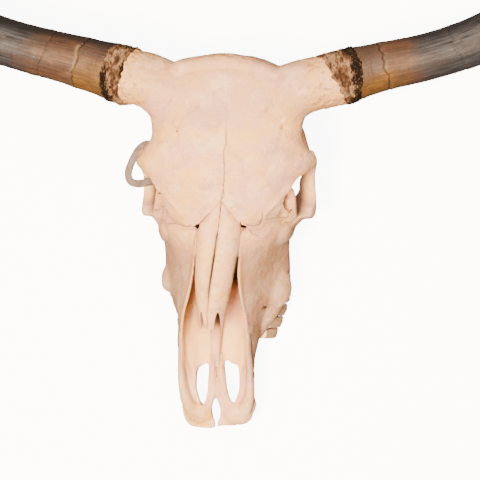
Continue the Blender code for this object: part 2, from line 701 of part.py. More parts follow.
def frontal_suture():
    """Cutters between the frontal bones above and everything that carries them."""
    front = [(-150, 36, 104), (-97, 36, 104), (-80, 28, 128), (-54, 19, 128), (-30, 17, 128), (0, 15, 128),
             (30, 18, 128), (53, 20, 128), (56, 28, 128), (80, 32, 128), (97, 36, 104), (150, 36, 104)]
    rear = [(x, 275, z) for x, y, z in front]
    above = [(x, y, 215) for x, y, z in front]
    return [sheet(front, rear), sheet(front, above)]


def part_face(face, side):
    """One half of the face as premaxilla, cheekbone, lacrimal and maxilla with its teeth."""
    name = side_name(side)
    slope = [(-154, 125), (-175, 62), (-185, 8)]
    cutter = sheet([(-9 * side, y, z) for y, z in slope], [(100 * side, y, z) for y, z in slope])
    premaxilla, rest = part(face, [cutter], lambda m: m.y < -180)
    premaxilla.name = "premaxilla_" + name

    plan = flip([(84, 72), (80, 44), (88, 16), (98, -2), (140, -14)], side)
    cheek, rest = part(rest, [wall(plan, 10, 135)], lambda m: m.x * side > 80)
    cheek.name = "zygomatic_" + name

    line = flip([(29.5, 66), (29.5, -6), (44, -15), (70, -12), (86, 4), (92, 12)], side)
    low = [(x, y, 97) for x, y in line]
    rear = [(x * side, 67, 97) for x in (29.5, 40, 50, 70, 86, 112)]
    cutters = [sheet(low, [(x, y, 215) for x, y in line]), sheet(low, rear)]
    lacrimal, maxilla = part(rest, cutters, lambda m: m.z > 100)
    lacrimal.name = "lacrimal_" + name

    maxilla.name = "maxilla_" + name


def part_bone(whole):
    """Cut the grown bone along its sutures into named pieces."""
    for side in (1.0, -1.0):
        combine(whole, nasal_bone(side, 0.4))
    combine(whole, vomer(0.4))

    frontal, rest = part(whole, frontal_suture(), lambda m: m.z > 135)
    seam = [(0, y) for y in (5, 35, 50, 65, 80, 95, 110, 275)]
    halves = part(frontal, [wall(seam, 90, 220)], lambda m: m.x > 0)
    halves[0].name, halves[1].name = "frontal_left", "frontal_right"

    ring = [(-150, 104), (-90, 104), (-90, 60), (90, 60), (90, 104), (150, 104)]
    box, face = part(rest, [wall(ring, -20, 150)], lambda m: m.y > 80)
    nape, box = part(box, [wall([(-130, 174), (130, 174)], -20, 150)], lambda m: m.y > 180)
    nape.name = "occipital"
    for side in (1.0, -1.0):
        plan = [(56.5 * side, 40), (56.5 * side, 190)]
        temple, box = part(box, [wall(plan, -20, 150)], lambda m: m.x * side > 60)
        temple.name = "temporal_" + side_name(side)
    box.name = "braincase"

    seam = [(seam_x(y), y) for y in (-285, -200, -150, -110, -75, -45, -15, 20, 45, 75)]
    faces = part(face, [wall(seam, -20, 220)], lambda m: m.x > 0)
    for side, half in zip((1.0, -1.0), faces):
        part_face(half, side)

    for side in (1.0, -1.0):
        for crown in tooth_row(side):
            combine(bpy.data.objects["maxilla_" + side_name(side)], crown, "UNION")


# finish

def material(name, kind):
    made = bpy.data.materials.new(name)
    made.use_nodes = True
    surface = made.node_tree.nodes["Principled BSDF"]
    surface.inputs["Base Color"].default_value = (*COLOURS[kind], 1.0)
    surface.inputs["Roughness"].default_value = ROUGHNESS[kind]
    surface.inputs["Metallic"].default_value = 0.0
    made.diffuse_color = (*COLOURS[kind], 1.0)
    return made


def kind_of(name):
    """Which surface a piece has."""
    kinds = {"horn": "horn", "horn_collar": "crust", "tie": "band", "premaxilla": "pale_bone",
             "nasal": "pale_bone", "vomer": "pale_bone"}
    stem = name.rsplit("_", 1)[0]
    return kinds.get(stem, kinds.get(name, "bone"))


def put_on_origin(things):
    """Shift everything so that the middle of the box's bottom is the origin."""
    corners = np.array([v.co for thing in things for v in thing.data.vertices])
    low, high = corners.min(axis=0), corners.max(axis=0)
    move = Vector((-(low[0] + high[0]) / 2.0, -(low[1] + high[1]) / 2.0, -low[2]))
    for thing in things:
        thing.data.transform(Matrix.Translation(move))
        thing.data.update()


def main():
    for thing in list(bpy.data.objects):
        bpy.data.objects.remove(thing)

    part_bone(grown_bone())
    for side in (1.0, -1.0):
        name = side_name(side)
        combine(nasal_bone(side), nasal_notch(side))
        bend_bone(horn_length("horn_collar_" + name, side, HORN["bone_end"] + GAP, HORN["collar_end"] - GAP,
                              3, HORN["collar_extra"]))
        bend_bone(horn_length("horn_" + name, side, HORN["collar_end"], 9999.0, 17))
    vomer()
    tie_band()

    things = list(bpy.data.objects)
    skull = bpy.data.collections.new("bull_skull")
    bpy.context.scene.collection.children.link(skull)
    for thing in things:
        clean_up(thing)
        thing.data.name = thing.name
        thing.data.materials.clear()
        thing.data.materials.append(material(thing.name, kind_of(thing.name)))
        for holder in list(thing.users_collection):
            holder.objects.unlink(thing)
        skull.objects.link(thing)
    put_on_origin(things)


main()
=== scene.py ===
import json
import math

import bmesh
import bpy
import numpy as np
from mathutils import Matrix, Vector

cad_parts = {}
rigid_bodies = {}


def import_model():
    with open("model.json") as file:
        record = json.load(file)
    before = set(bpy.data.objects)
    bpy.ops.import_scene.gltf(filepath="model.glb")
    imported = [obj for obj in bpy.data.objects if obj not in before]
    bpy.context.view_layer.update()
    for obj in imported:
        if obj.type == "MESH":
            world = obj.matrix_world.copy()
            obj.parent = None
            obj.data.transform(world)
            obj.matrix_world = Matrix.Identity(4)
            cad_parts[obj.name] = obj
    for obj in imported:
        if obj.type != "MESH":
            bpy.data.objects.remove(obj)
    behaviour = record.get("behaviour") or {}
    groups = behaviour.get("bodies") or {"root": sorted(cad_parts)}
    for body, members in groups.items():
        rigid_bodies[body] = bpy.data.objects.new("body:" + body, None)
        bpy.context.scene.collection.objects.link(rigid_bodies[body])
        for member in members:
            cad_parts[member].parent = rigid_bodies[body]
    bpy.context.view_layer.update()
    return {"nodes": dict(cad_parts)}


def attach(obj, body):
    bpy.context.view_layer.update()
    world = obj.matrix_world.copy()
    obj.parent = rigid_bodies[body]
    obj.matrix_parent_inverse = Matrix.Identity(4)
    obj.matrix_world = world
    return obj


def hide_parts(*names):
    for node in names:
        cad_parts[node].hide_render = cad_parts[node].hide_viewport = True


# a bull skull with horns, at life size: nose to -Y, poll to +Y, the animal's own left at +X
# lengths are in millimetres until a mesh is made

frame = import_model()
print("frame loaded")

mm = 0.001
bone = {
    "voxel": 1.3,        # grain of the bone mesh
    "smoothing": 11,
    "sutureGap": 0.06,                           # clear width between two bones
    "smallestPiece": 300.0,                      # cubic mm, smaller crumbs are left out
    "floorZ": 0.05,                              # everything rests this far above the floor
    "cutTries": 6,
    "cutShift": (0.011, 0.017, 0.013),           # how far a cut moves before it is tried again
}

# measures along the skull are keys of (y, value): a half is a distance from the midline, a z is a height


# numbers, curves and noise

def smoothStep(value, start, end):
    t = np.clip((np.asarray(value, float) - start) / (end - start), 0.0, 1.0)
    return t * t * (3.0 - 2.0 * t)


def curveAt(keys, position):        # the smooth curve through (position, value) keys
    keys = sorted(keys)
    places = np.array([k[0] for k in keys], float)
    values = np.array([k[1] for k in keys], float)
    slopes = np.diff(values) / np.diff(places)
    tangents = np.concatenate([[slopes[0]], (slopes[1:] + slopes[:-1]) / 2.0, [slopes[-1]]])
    turning = np.concatenate([[False], slopes[1:] * slopes[:-1] <= 0.0, [False]])
    tangents[turning] = 0.0
    p = np.clip(np.asarray(position, float), places[0], places[-1])
    i = np.clip(np.searchsorted(places, p) - 1, 0, len(places) - 2)
    width = places[i + 1] - places[i]
    t = (p - places[i]) / width
    return ((2 * t**3 - 3 * t**2 + 1) * values[i] + (t**3 - 2 * t**2 + t) * width * tangents[i]
            + (-2 * t**3 + 3 * t**2) * values[i + 1] + (t**3 - t**2) * width * tangents[i + 1])


def sizesAt(table, names, y):
    return [float(curveAt(table[name], y)) for name in names]


def spline(points, count, closed=False):        # evenly spread points on the smooth line through a few
    pts = [np.array(p, float) for p in points]
    size = len(pts)
    fine = []
    for i in range(size if closed else size - 1):
        if closed:
            a, b, c, d = (pts[(i + k) % size] for k in (-1, 0, 1, 2))
        else:
            a, b, c, d = pts[max(i - 1, 0)], pts[i], pts[i + 1], pts[min(i + 2, size - 1)]
        for t in np.linspace(0.0, 1.0, 24, endpoint=False):
            fine.append(0.5 * (2 * b + (c - a) * t + (2 * a - 5 * b + 4 * c - d) * t**2
                               + (3 * b - a - 3 * c + d) * t**3))
    fine.append(pts[0] if closed else pts[-1])
    return evenly(fine, count, not closed)


def evenly(points, count, lastToo=True):
    points = np.array(points, float)
    steps = np.concatenate([[0.0], np.cumsum(np.linalg.norm(np.diff(points, axis=0), axis=1))])
    wanted = np.linspace(0.0, steps[-1], count, endpoint=lastToo)
    return np.stack([np.interp(wanted, steps, points[:, k]) for k in range(points.shape[1])], axis=1)


def softNoise(points, size, seed=0):        # smooth noise from -1 to 1, with lumps of that size
    q = np.asarray(points, float) / size + 31.7 * seed
    cell = np.floor(q).astype(np.int64)
    share = q - cell
    share = share * share * (3.0 - 2.0 * share)
    total = np.zeros(len(q))
    for corner in range(8):
        step = np.array([corner & 1, corner >> 1 & 1, corner >> 2 & 1])
        c = cell + step
        # large odd numbers scramble the cell's place into one repeatable number
        h = (c[:, 0] * 73856093) ^ (c[:, 1] * 19349663) ^ (c[:, 2] * 83492791) ^ (seed * 2654435761)
        h = ((h ^ (h >> 13)) * 1274126177) & 0x7FFFFFFF
        h = ((h ^ (h >> 15)) * 668265263) & 0x7FFFFFFF
        weight = np.prod(np.where(step, share, 1.0 - share), axis=1)
        total += weight * (h / 0x3FFFFFFF - 1.0)
    return total


def lineNoise(run, size, seed=0):       # the same along one length
    run = np.asarray(run, float)
    return softNoise(np.stack([run, run * 0 + 5.1, run * 0 + 9.3], axis=1), size, seed)


def flip(points, side):
    return [(p[0] * side, *p[1:]) for p in points]


def sideName(side):
    return "left" if side > 0 else "right"


# how the animal grew out of true: a lean towards the nose, a turn about its length, and two fuller places
bend = {
    "lean": [(-270, -22.5), (-215, -23.5), (-150, -25.5), (-100, -22.8), (-60, -18.7), (0, -10.5),
             (60, -2.8), (110, 0)],
    "twist": {"fromY": 110.0, "toY": -120.0, "amount": 0.03, "levelZ": 120.0},
    "seam": {"fromY": 20.0, "toY": -110.0, "shift": -3.2},
    "brow": {"y": 98.0, "spread": 42.0, "shift": -5.0, "fullX": 100.0},
    "cheek": {"y": -72.0, "spread": 46.0, "shift": 12.0, "levelZ": 62.0, "fade": 25.0, "fromX": 25.0,
              "fullX": 50.0},
}


def seamX(y):
    shift = bend["seam"]["shift"] * smoothStep(y, bend["seam"]["fromY"], bend["seam"]["toY"])
    return float(shift) if np.ndim(shift) == 0 else shift


def bendShift(p):       # how far the crooked animal has each straight point along x
    x, y, z = p[:, 0], p[:, 1], p[:, 2]
    twist, brow, cheek = bend["twist"], bend["brow"], bend["cheek"]
    outward = np.clip(np.abs(x) / brow["fullX"], 0.0, 1.0)
    shift = curveAt(bend["lean"], y)
    shift = shift + smoothStep(y, twist["fromY"], twist["toY"]) * twist["amount"] * (twist["levelZ"] - z)
    shift += brow["shift"] * np.exp(-((y - brow["y"]) / brow["spread"]) ** 2) * outward
    low = smoothStep(z, cheek["levelZ"] + cheek["fade"], cheek["levelZ"] - cheek["fade"])
    low = low * smoothStep(x, cheek["fromX"], cheek["fullX"])
    return shift + cheek["shift"] * np.exp(-((y - cheek["y"]) / cheek["spread"]) ** 2) * low


def straighten(p):
    straight = p.copy()
    for _ in range(4):
        straight[:, 0] = p[:, 0] - bendShift(straight)
    return straight


# meshes

def pointsOf(mesh):
    places = np.empty(len(mesh.vertices) * 3)
    mesh.vertices.foreach_get("co", places)
    return places.reshape(-1, 3) / mm


def normalsOf(mesh):
    normals = np.empty(len(mesh.vertices) * 3)
    mesh.vertices.foreach_get("normal", normals)
    return normals.reshape(-1, 3)


def setPoints(mesh, points):
    mesh.vertices.foreach_set("co", (np.asarray(points) * mm).ravel())
    mesh.update()


def bendBone(thing):
    points = pointsOf(thing.data)
    points[:, 0] += bendShift(points)
    setPoints(thing.data, points)
    return thing


def addBody(name, shape):
    bmesh.ops.recalc_face_normals(shape, faces=shape.faces)
    if shape.calc_volume(signed=True) < 0.0:
        bmesh.ops.reverse_faces(shape, faces=shape.faces)
    mesh = bpy.data.meshes.new(name)
    shape.to_mesh(mesh)
    shape.free()
    thing = bpy.data.objects.new(name, mesh)
    bpy.context.scene.collection.objects.link(thing)
    return thing


def meshBody(name, points, corners, starts=None):      # from arrays, quickly; without starts, triangles
    corners = np.asarray(corners, np.int32).ravel()
    if starts is None:
        starts = np.arange(0, len(corners), 3)
    mesh = bpy.data.meshes.new(name)
    mesh.vertices.add(len(points))
    mesh.loops.add(len(corners))
    mesh.polygons.add(len(starts))
    mesh.vertices.foreach_set("co", np.asarray(points, float).ravel())
    mesh.loops.foreach_set("vertex_index", corners)
    mesh.polygons.foreach_set("loop_start", np.asarray(starts, np.int32))
    mesh.update(calc_edges=True)
    thing = bpy.data.objects.new(name, mesh)
    bpy.context.scene.collection.objects.link(thing)
    return thing


def loft(name, rings):      # a closed body through rings of equal length
    count = len(rings[0])
    shape = bmesh.new()
    rows = [[shape.verts.new(Vector(p) * mm) for p in ring] for ring in rings]
    for near, far in zip(rows[:-1], rows[1:]):
        for k in range(count):
            shape.faces.new((near[k], near[(k + 1) % count], far[(k + 1) % count], far[k]))
    shape.faces.new(rows[0][::-1])
    shape.faces.new(rows[-1])
    return addBody(name, shape)


def evenRing(y, halfRing, count=60):
    otherHalf = [(-x, z) for x, z in halfRing[::-1] if x > 0.0]
    return [(x, y, z) for x, z in spline(halfRing + otherHalf, count, closed=True)]


def ball(name, centre, radii, tilt=(0.0, 0.0, 0.0)):
    shape = bmesh.new()
    bmesh.ops.create_uvsphere(shape, u_segments=48, v_segments=30, radius=1.0)
    size = Matrix.Diagonal((*(Vector(radii) * mm), 1.0))
    turn = Matrix.Identity(4)
    for axis, angle in zip("XYZ", tilt):
        turn = Matrix.Rotation(math.radians(angle), 4, axis) @ turn
    place = Matrix.Translation(Vector(centre) * mm)
    bmesh.ops.transform(shape, matrix=place @ turn @ size, verts=shape.verts)
    return addBody(name, shape)


def bar(name, route, sizes, steps=28, sides=24, squareness=2.0):
    path = spline(route, steps)
    shares = np.linspace(0.0, 1.0, len(sizes))
    along = np.linspace(0.0, 1.0, steps)
    across, upright = (curveAt(list(zip(shares, [s[k] for s in sizes])), along) for k in (0, 1))
    rings = []
    for i, point in enumerate(path):
        ahead = Vector(path[min(i + 1, steps - 1)] - path[max(i - 1, 0)]).normalized()
        aside = ahead.cross(Vector((0.0, 0.0, 1.0)))
        if aside.length < 0.3:
            aside = ahead.cross(Vector((0.0, 1.0, 0.0)))
        aside.normalize()
        rise = aside.cross(ahead)
        ring = []
        for k in range(sides):
            c, s = math.cos(2.0 * math.pi * k / sides), math.sin(2.0 * math.pi * k / sides)
            reach = (abs(c) ** squareness + abs(s) ** squareness) ** (-1.0 / squareness)
            ring.append(Vector(point) + aside * (across[i] * c * reach) + rise * (upright[i] * s * reach))
        rings.append(ring)
    return loft(name, rings)


def prism(name, outline, lowZ, highZ):
    return loft(name, [[(x, y, z) for x, y in outline] for z in (lowZ, highZ)])


def settle(thing):      # put an object's modifiers into its mesh
    bpy.context.view_layer.update()
    graph = bpy.context.evaluated_depsgraph_get()
    mesh = bpy.data.meshes.new_from_object(thing.evaluated_get(graph))
    thing.modifiers.clear()
    thing.data = mesh
    return thing


def merge(name, things, smoothing=0):       # overlapping bodies melted into one skin
    shape = bmesh.new()
    for thing in things:
        shape.from_mesh(thing.data)
        bpy.data.objects.remove(thing)
    whole = addBody(name, shape)
    remesh = whole.modifiers.new("merge", "REMESH")
    remesh.mode = "VOXEL"
    remesh.voxel_size = bone["voxel"] * mm
    if smoothing:
        ease = whole.modifiers.new("ease", "SMOOTH")
        ease.factor = 0.5
        ease.iterations = smoothing
    return settle(whole)


def openEdges(mesh):       # edges that don't have exactly two faces
    owners = np.empty(len(mesh.loops), np.int32)
    mesh.loops.foreach_get("edge_index", owners)
    return int((np.bincount(owners, minlength=len(mesh.edges)) != 2).sum())


def cut(thing, other):
    for attempt in range(bone["cutTries"]):
        boolean = thing.modifiers.new("cut", "BOOLEAN")
        boolean.operation = "DIFFERENCE"
        boolean.solver = "MANIFOLD"     # the exact solver loses bodies where a thin cut grazes the skin
        boolean.object = other
        before = thing.data
        settle(thing)
        if openEdges(thing.data) == 0:
            break
        if attempt < bone["cutTries"] - 1:      # a cut that only touches the skin is tried a hair away
            thing.data = before
            other.data.transform(Matrix.Translation(Vector(bone["cutShift"]) * mm))
    bpy.data.objects.remove(other)
    return thing


def trianglesOf(mesh):
    mesh.calc_loop_triangles()
    triangles = np.empty(len(mesh.loop_triangles) * 3, np.int32)
    mesh.loop_triangles.foreach_get("vertices", triangles)
    return triangles.reshape(-1, 3)


def edgesOf(mesh):
    ends = np.empty(len(mesh.edges) * 2, np.int32)
    mesh.edges.foreach_get("vertices", ends)
    return ends[::2], ends[1::2]


def loosePieces(thing):     # one object for each connected body, without the crumbs
    a, b = edgesOf(thing.data)
    label = np.arange(len(thing.data.vertices))
    while True:
        low = np.minimum(label[a], label[b])
        after = label.copy()
        np.minimum.at(after, label[a], low)
        np.minimum.at(after, label[b], low)
        after = after[after]
        after = after[after]
        if (after == label).all():
            break
        label = after
    points = pointsOf(thing.data)
    corners = np.empty(len(thing.data.loops), np.int32)
    thing.data.loops.foreach_get("vertex_index", corners)
    counts = np.empty(len(thing.data.polygons), np.int32)
    thing.data.polygons.foreach_get("loop_total", counts)
    starts = np.concatenate([[0], np.cumsum(counts)[:-1]])
    owner = label[corners[starts]]
    triangles = trianglesOf(thing.data)
    spots = points[triangles]
    sizes = np.einsum("ij,ij->i", spots[:, 0], np.cross(spots[:, 1], spots[:, 2])) / 6.0
    pieces = []
    for body in np.unique(owner):
        if abs(sizes[label[triangles[:, 0]] == body].sum()) < bone["smallestPiece"]:
            continue
        mine = owner == body
        used, renumbered = np.unique(corners[np.repeat(mine, counts)], return_inverse=True)
        first = np.concatenate([[0], np.cumsum(counts[mine])[:-1]])
        pieces.append(meshBody(thing.name, points[used] * mm, renumbered, first))
    bpy.data.objects.remove(thing)
    return pieces


def joined(things):
    if len(things) == 1:
        return things[0]
    shape = bmesh.new()
    for thing in things:
        shape.from_mesh(thing.data)
        bpy.data.objects.remove(thing)
    mesh = bpy.data.meshes.new("joined")
    shape.to_mesh(mesh)
    shape.free()
    whole = bpy.data.objects.new("joined", mesh)
    bpy.context.scene.collection.objects.link(whole)
    return whole


def part(thing, cutters, isFirst):
    for cutter in cutters:
        cut(thing, cutter)
    groups = [[], []]
    for piece in sorted(loosePieces(thing), key=lambda piece: -len(piece.data.vertices)):
        groups[0 if isFirst(pointsOf(piece.data).mean(axis=0)) else 1].append(piece)
    return [joined(group) for group in groups]


# a suture wanders from side to side as it goes: how far and how quickly
suture = {"step": 1.2, "reach": 1.1, "size": 5.0}


def wander(line, reach, seed=1):        # the plan line of a suture, with its zigzag
    length = np.linalg.norm(np.diff(np.array(line, float), axis=0), axis=1).sum()
    fine = evenly(line, max(int(length / suture["step"]), 4))
    run = np.linspace(0.0, length, len(fine))
    ahead = np.gradient(fine[:, :2], axis=0)
    ahead /= np.maximum(np.linalg.norm(ahead, axis=1, keepdims=True), 1e-6)
    swing = lineNoise(run, suture["size"], seed) + 0.6 * lineNoise(run, suture["size"] * 0.45, seed + 3)
    swing *= reach * suture["reach"]
    fine[:, 0] -= ahead[:, 1] * swing
    fine[:, 1] += ahead[:, 0] * swing
    return fine


def sheet(line, other, gap=bone["sutureGap"]):
    shape = bmesh.new()
    rows = [[shape.verts.new(Vector(p) * mm) for p in points] for points in (line, other)]
    for k in range(len(line) - 1):
        shape.faces.new((rows[0][k], rows[0][k + 1], rows[1][k + 1], rows[1][k]))
    thing = bendBone(addBody("sheet", shape))
    solid = thing.modifiers.new("thick", "SOLIDIFY")
    solid.thickness = gap * mm
    solid.offset = 0.0
    return settle(thing)


def wall(plan, lowZ, highZ, reach=1.0, seed=1):
    fine = wander(plan, reach, seed)
    return sheet([(x, y, lowZ) for x, y in fine], [(x, y, highZ) for x, y in fine])


print("tools ready")


# the grown bone, straight and even

face = {
    "rimHalf": [(-235, 22), (-219, 31), (-185, 38), (-160, 43.5), (-112, 43), (-85, 37), (-53, 31),
                (-22, 29), (16, 30.5), (40, 36), (62, 45)],
    "rimZ": [(-235, 42), (-219, 46), (-185, 55), (-160, 63), (-112, 86), (-85, 99), (-53, 114),
             (-22, 129), (16, 143), (40, 152), (62, 160)],
    "roofZ": [(-235, 44), (-160, 66), (-112, 98), (-53, 122), (-22, 136), (16, 149), (40, 158), (62, 166)],
    "flankHalf": [(-235, 42), (-160, 51), (-112, 52), (-85, 56), (-53, 57), (-22, 59), (0, 62), (16, 64),
                  (40, 70), (62, 72)],
    "flankZ": [(-235, 42), (-160, 60), (-112, 76), (-85, 82), (-53, 91), (-22, 105), (0, 118), (16, 127),
               (40, 140), (62, 147)],
    "wideHalf": [(-235, 48), (-202, 49.5), (-168, 53), (-147, 56.5), (-112, 57.5), (-100, 60), (-84, 68.5),
                 (-70, 77), (-53, 83), (-25, 86), (0, 88), (20, 89), (40, 84), (62, 70)],
    "wideZ": [(-235, 40), (-202, 43), (-168, 47), (-147, 49), (-112, 50), (-75, 47), (-53, 47), (-25, 52),
              (0, 68), (20, 88), (62, 90)],
    "baseHalf": [(-235, 44), (-168, 48), (-147, 50), (-128, 53), (-100, 57), (-75, 65), (-50, 70), (0, 66),
                 (30, 52), (62, 36)],
    "baseZ": [(-235, 34), (-168, 33), (-147, 31), (-128, 25), (-100, 22), (0, 22), (30, 30), (62, 44)],
}


def faceBody():
    names = ("rimHalf", "rimZ", "roofZ", "flankHalf", "flankZ", "wideHalf", "wideZ", "baseHalf", "baseZ")
    rings = []
    for y in np.linspace(-235.0, 62.0, 90):
        rimHalf, rimZ, roofZ, flankHalf, flankZ, wideHalf, wideZ, baseHalf, baseZ = sizesAt(face, names, y)
        vaultZ = baseZ + 6.0
        rings.append(evenRing(y, [
            (0.0, roofZ), (rimHalf * 0.6, roofZ - 0.25 * (roofZ - rimZ)), (rimHalf, rimZ),
            (flankHalf, flankZ), (wideHalf, wideZ), (baseHalf + 3.0, (wideZ + baseZ) / 2.0),
            (baseHalf - 5.0, baseZ), (baseHalf * 0.45, vaultZ), (0.0, vaultZ)]))
    return loft("face", rings)


frontal = {
    "pollY": 243.5,
    "half": [(14, 62), (40, 80), (60, 90), (70, 95), (80, 104), (91, 114), (106, 123), (117, 116),
             (130, 104), (142, 100.5), (154, 101), (168, 104), (190, 98), (212, 88), (226, 73), (233, 59),
             (238, 45), (241.5, 28), (243.5, 14)],
    "roofZ": [(14, 150), (40, 160.5), (62, 168), (100, 177), (160, 184), (205, 187), (228, 183), (243, 170)],
    "edgeZ": [(14, 118), (40, 132), (62, 133), (85, 128), (107, 121), (130, 136), (154, 148), (200, 160),
              (243, 156)],
    "underZ": [(14, 96), (40, 108), (107, 108), (130, 108), (200, 112), (243, 130)],
}


def forehead():
    rings = []
    for y in np.linspace(14.0, frontal["pollY"], 100):
        half, roofZ, edgeZ, underZ = sizesAt(frontal, ("half", "roofZ", "edgeZ", "underZ"), y)
        drop = roofZ - edgeZ
        rings.append(evenRing(y, [
            (0.0, roofZ), (0.4 * half, roofZ - 0.07 * drop), (0.7 * half, roofZ - 0.27 * drop),
            (0.9 * half, roofZ - 0.6 * drop), (half, edgeZ), (half - 5.0, (edgeZ + underZ) / 2.0),
            (0.8 * half, underZ), (0.4 * half, underZ), (0.0, underZ)], 72))
    return loft("forehead", rings)


# bars have a route and half sizes (across, upright) along it, balls have a centre and radii; the sides'
# forms are given for the animal's left and mirrored
braincaseForms = {
    "box": {"route": [(0, 40, 112), (0, 90, 112), (0, 150, 106), (0, 212, 100)],
            "sizes": [(52, 36), (56, 44), (66, 50), (74, 46)], "steps": 24, "sides": 36},
    "nape": {"centre": (0, 206, 120), "radii": (88, 25, 62)},
    "base": {"route": [(0, 50, 62), (0, 100, 54), (0, 160, 49), (0, 218, 55)],
             "sizes": [(22, 16), (22, 14), (20, 12), (26, 15)], "steps": 24},
    "pollRidge": {"route": [(-86, 212, 150), (-52, 224, 160), (0, 229, 164), (50, 220, 160), (86, 204, 150)],
                  "sizes": [(14, 20), (14, 24), (15, 24), (14, 24), (14, 20)], "steps": 36},
}
earForms = {
    "mastoid": {"centre": (66, 188, 92), "radii": (25, 24, 34)},
    "bulla": {"centre": (44, 158, 46), "radii": (13, 22, 18), "tilt": (20, 0, 0)},
    "jugularProcess": {"route": [(54, 194, 72), (54, 197, 44), (51, 195, 18), (48, 191, -6)],
                       "sizes": [(18, 15), (16, 13), (13, 10), (11, 8)], "steps": 20, "sides": 20},
    "condyle": {"centre": (25, 222, 60), "radii": (19, 18, 24), "tilt": (-20, 0, 18)},
}
cheekForms = {
    "arch": {"route": [(110, 92, 86), (107, 108, 85), (98, 130, 86), (86, 150, 89), (58, 164, 94)],
             "sizes": [(6, 12), (6.5, 10), (8, 9), (12, 10), (18, 14)], "steps": 30, "sides": 20},
    "eyeBar": {"route": [(108, 116, 124), (114.5, 106, 118), (115, 97, 104), (112, 93, 90)],
               "sizes": [(10, 8), (8, 7), (7, 7), (8, 8)], "steps": 20, "sides": 20},
    "browRim": {"route": [(113, 107, 121), (101, 90, 130), (87, 70, 138), (80, 50, 131), (89, 32, 108)],
                "sizes": [(7, 7), (8.5, 7), (8.5, 8), (8, 8), (9, 9)], "steps": 28, "sides": 20},
    "cheek": {"centre": (77, 20, 84), "radii": (18, 26, 24)},
}
# the lower face differs from side to side, so the right side's forms are given as mirrored too
lowerForms = {
    1: {
        "tuber": {"centre": (72, -62, 55), "radii": (17, 32, 11), "tilt": (0, 0, 6)},
        "toothRidge": {"route": [(72, -84, 50), (64, -101, 45), (57, -114, 41), (49, -131, 37)],
                       "sizes": [(11, 9), (11, 9), (11, 8), (10, 7)], "steps": 24, "sides": 20},
    },
    -1: {
        "tuber": {"centre": (70.5, -50, 57), "radii": (15.5, 24, 11), "tilt": (0, 0, 6)},
        "toothRidge": {"route": [(62, -84, 48), (50, -112, 42), (46, -130, 40)],
                       "sizes": [(7, 8), (7, 7), (7, 6)], "steps": 24, "sides": 20},
    },
}
pterygoidForm = {
    "pterygoid": {"route": [(34, -8, 44), (31, 26, 34), (27, 58, 34), (26, 92, 48)],
                  "sizes": [(9, 24), (5, 22), (5, 18), (8, 13)], "steps": 24, "sides": 20},
}
orbitLip = {
    "outline": [(118.5, 100), (119, 70), (119.5, 37), (116, 31), (104, 30), (96, 20), (84, 12), (74, 36),
                (76, 56), (92, 59), (95.5, 66), (99.5, 77), (103, 100)],
    "levels": [(74, 0.94), (80, 1.0), (92, 1.0), (100, 0.97)],      # (z, how wide)
    "middleY": 66.0,
}


def buildForms(forms, side=1.0):
    made = []
    for name, form in forms.items():
        if "route" in form:
            made.append(bar(name, flip(form["route"], side), form["sizes"], form["steps"],
                            form.get("sides", 24), form.get("squareness", 2.0)))
        else:
            x, y, z = form["centre"]
            a, b, c = form.get("tilt", (0, 0, 0))
            made.append(ball(name, (x * side, y, z), form["radii"], (a, b * side, c * side)))
    return made


def cheekbone(side):
    rings = []
    for z, share in orbitLip["levels"]:
        rings.append([(x * share, orbitLip["middleY"] + (y - orbitLip["middleY"]) * share, z)
                      for x, y in flip(orbitLip["outline"], side)])
    made = buildForms(cheekForms, side)
    return made[:1] + [loft("orbitLip", rings)] + made[1:]


def pedicle(side):
    extra = 0.0 if side > 0 else 1.0
    sizes = [(40, 32), (35.5 + extra, 35), (34.3 + 2.0 * extra, 34.5), (34 + 2.0 * extra, 34.5)]
    return bar("pedicle", hornLine(side)[0][:140:10], sizes, 28, 48)


plates = {
    "outline": [(6, -261), (22, -260.5), (38, -253), (48.5, -243), (53.5, -230), (50, -214), (50, -200),
                (51.5, -184), (30, -184), (0, -186), (-30, -184), (-53.5, -184), (-51, -202), (-51, -222),
                (-52, -240), (-47, -256), (-38, -264), (-15, -266), (-4, -264)],
    "heights": [(-264, 36), (-240, 38), (-215, 41), (-186, 46)],
    "halfThick": 3.6,
}


def frontPlates():
    outline = spline(plates["outline"], 140, closed=True)
    rings = [[(x, y, float(curveAt(plates["heights"], y)) + lift) for x, y in outline]
             for lift in (-plates["halfThick"], plates["halfThick"])]
    return loft("frontPlates", rings)


# the raised rims, the two middle bars and the bulb of a front bone
snoutForms = {
    "snoutRim": {"route": [(46.5, -128, 77), (47, -150, 67), (48, -176, 60), (47.5, -200, 56), (45, -220, 51),
                           (38, -236, 46), (28, -245, 41)],
                 "sizes": [(3.5, 5), (4.5, 6), (5, 7), (5.5, 8), (6.5, 8.5), (9, 8), (11, 7)],
                 "steps": 60, "sides": 20},
    "middleBar": {"route": [(5.8, -158, 51), (6.0, -190, 46), (7.4, -214, 42), (11, -234, 39)],
                  "sizes": [(2.6, 4), (3.6, 4.5), (4.6, 5), (6.5, 6)], "steps": 40, "sides": 16},
    "bulb": {"centre": (27.5, -243, 38.5), "radii": (21, 16.5, 11.5), "tilt": (8, 0, 0)},
}
# the thin floor that hides most of the eye socket from above
eyePlateForm = {
    "eyePlate": {"route": [(85, 69, 127), (86, 58, 121), (87, 46, 116), (88, 33, 110)],
                 "sizes": [(7.5, 3.5), (9.0, 4.5), (9.5, 6), (10, 8)], "steps": 30, "squareness": 5.0},
}


def noseLip(side):      # the rounded edge of the nose opening
    route = []
    for y in (-150, -128, -104, -80, -56, -34, -20):
        half, z = sizesAt(face, ("rimHalf", "rimZ"), y)
        route.append((half + 1.6, y, z - 2.4))
    return bar("noseLip", flip(route, side), [(2.6, 3.2), (2.8, 3.2), (2.6, 3.0), (2.0, 2.4)], 50, 14)


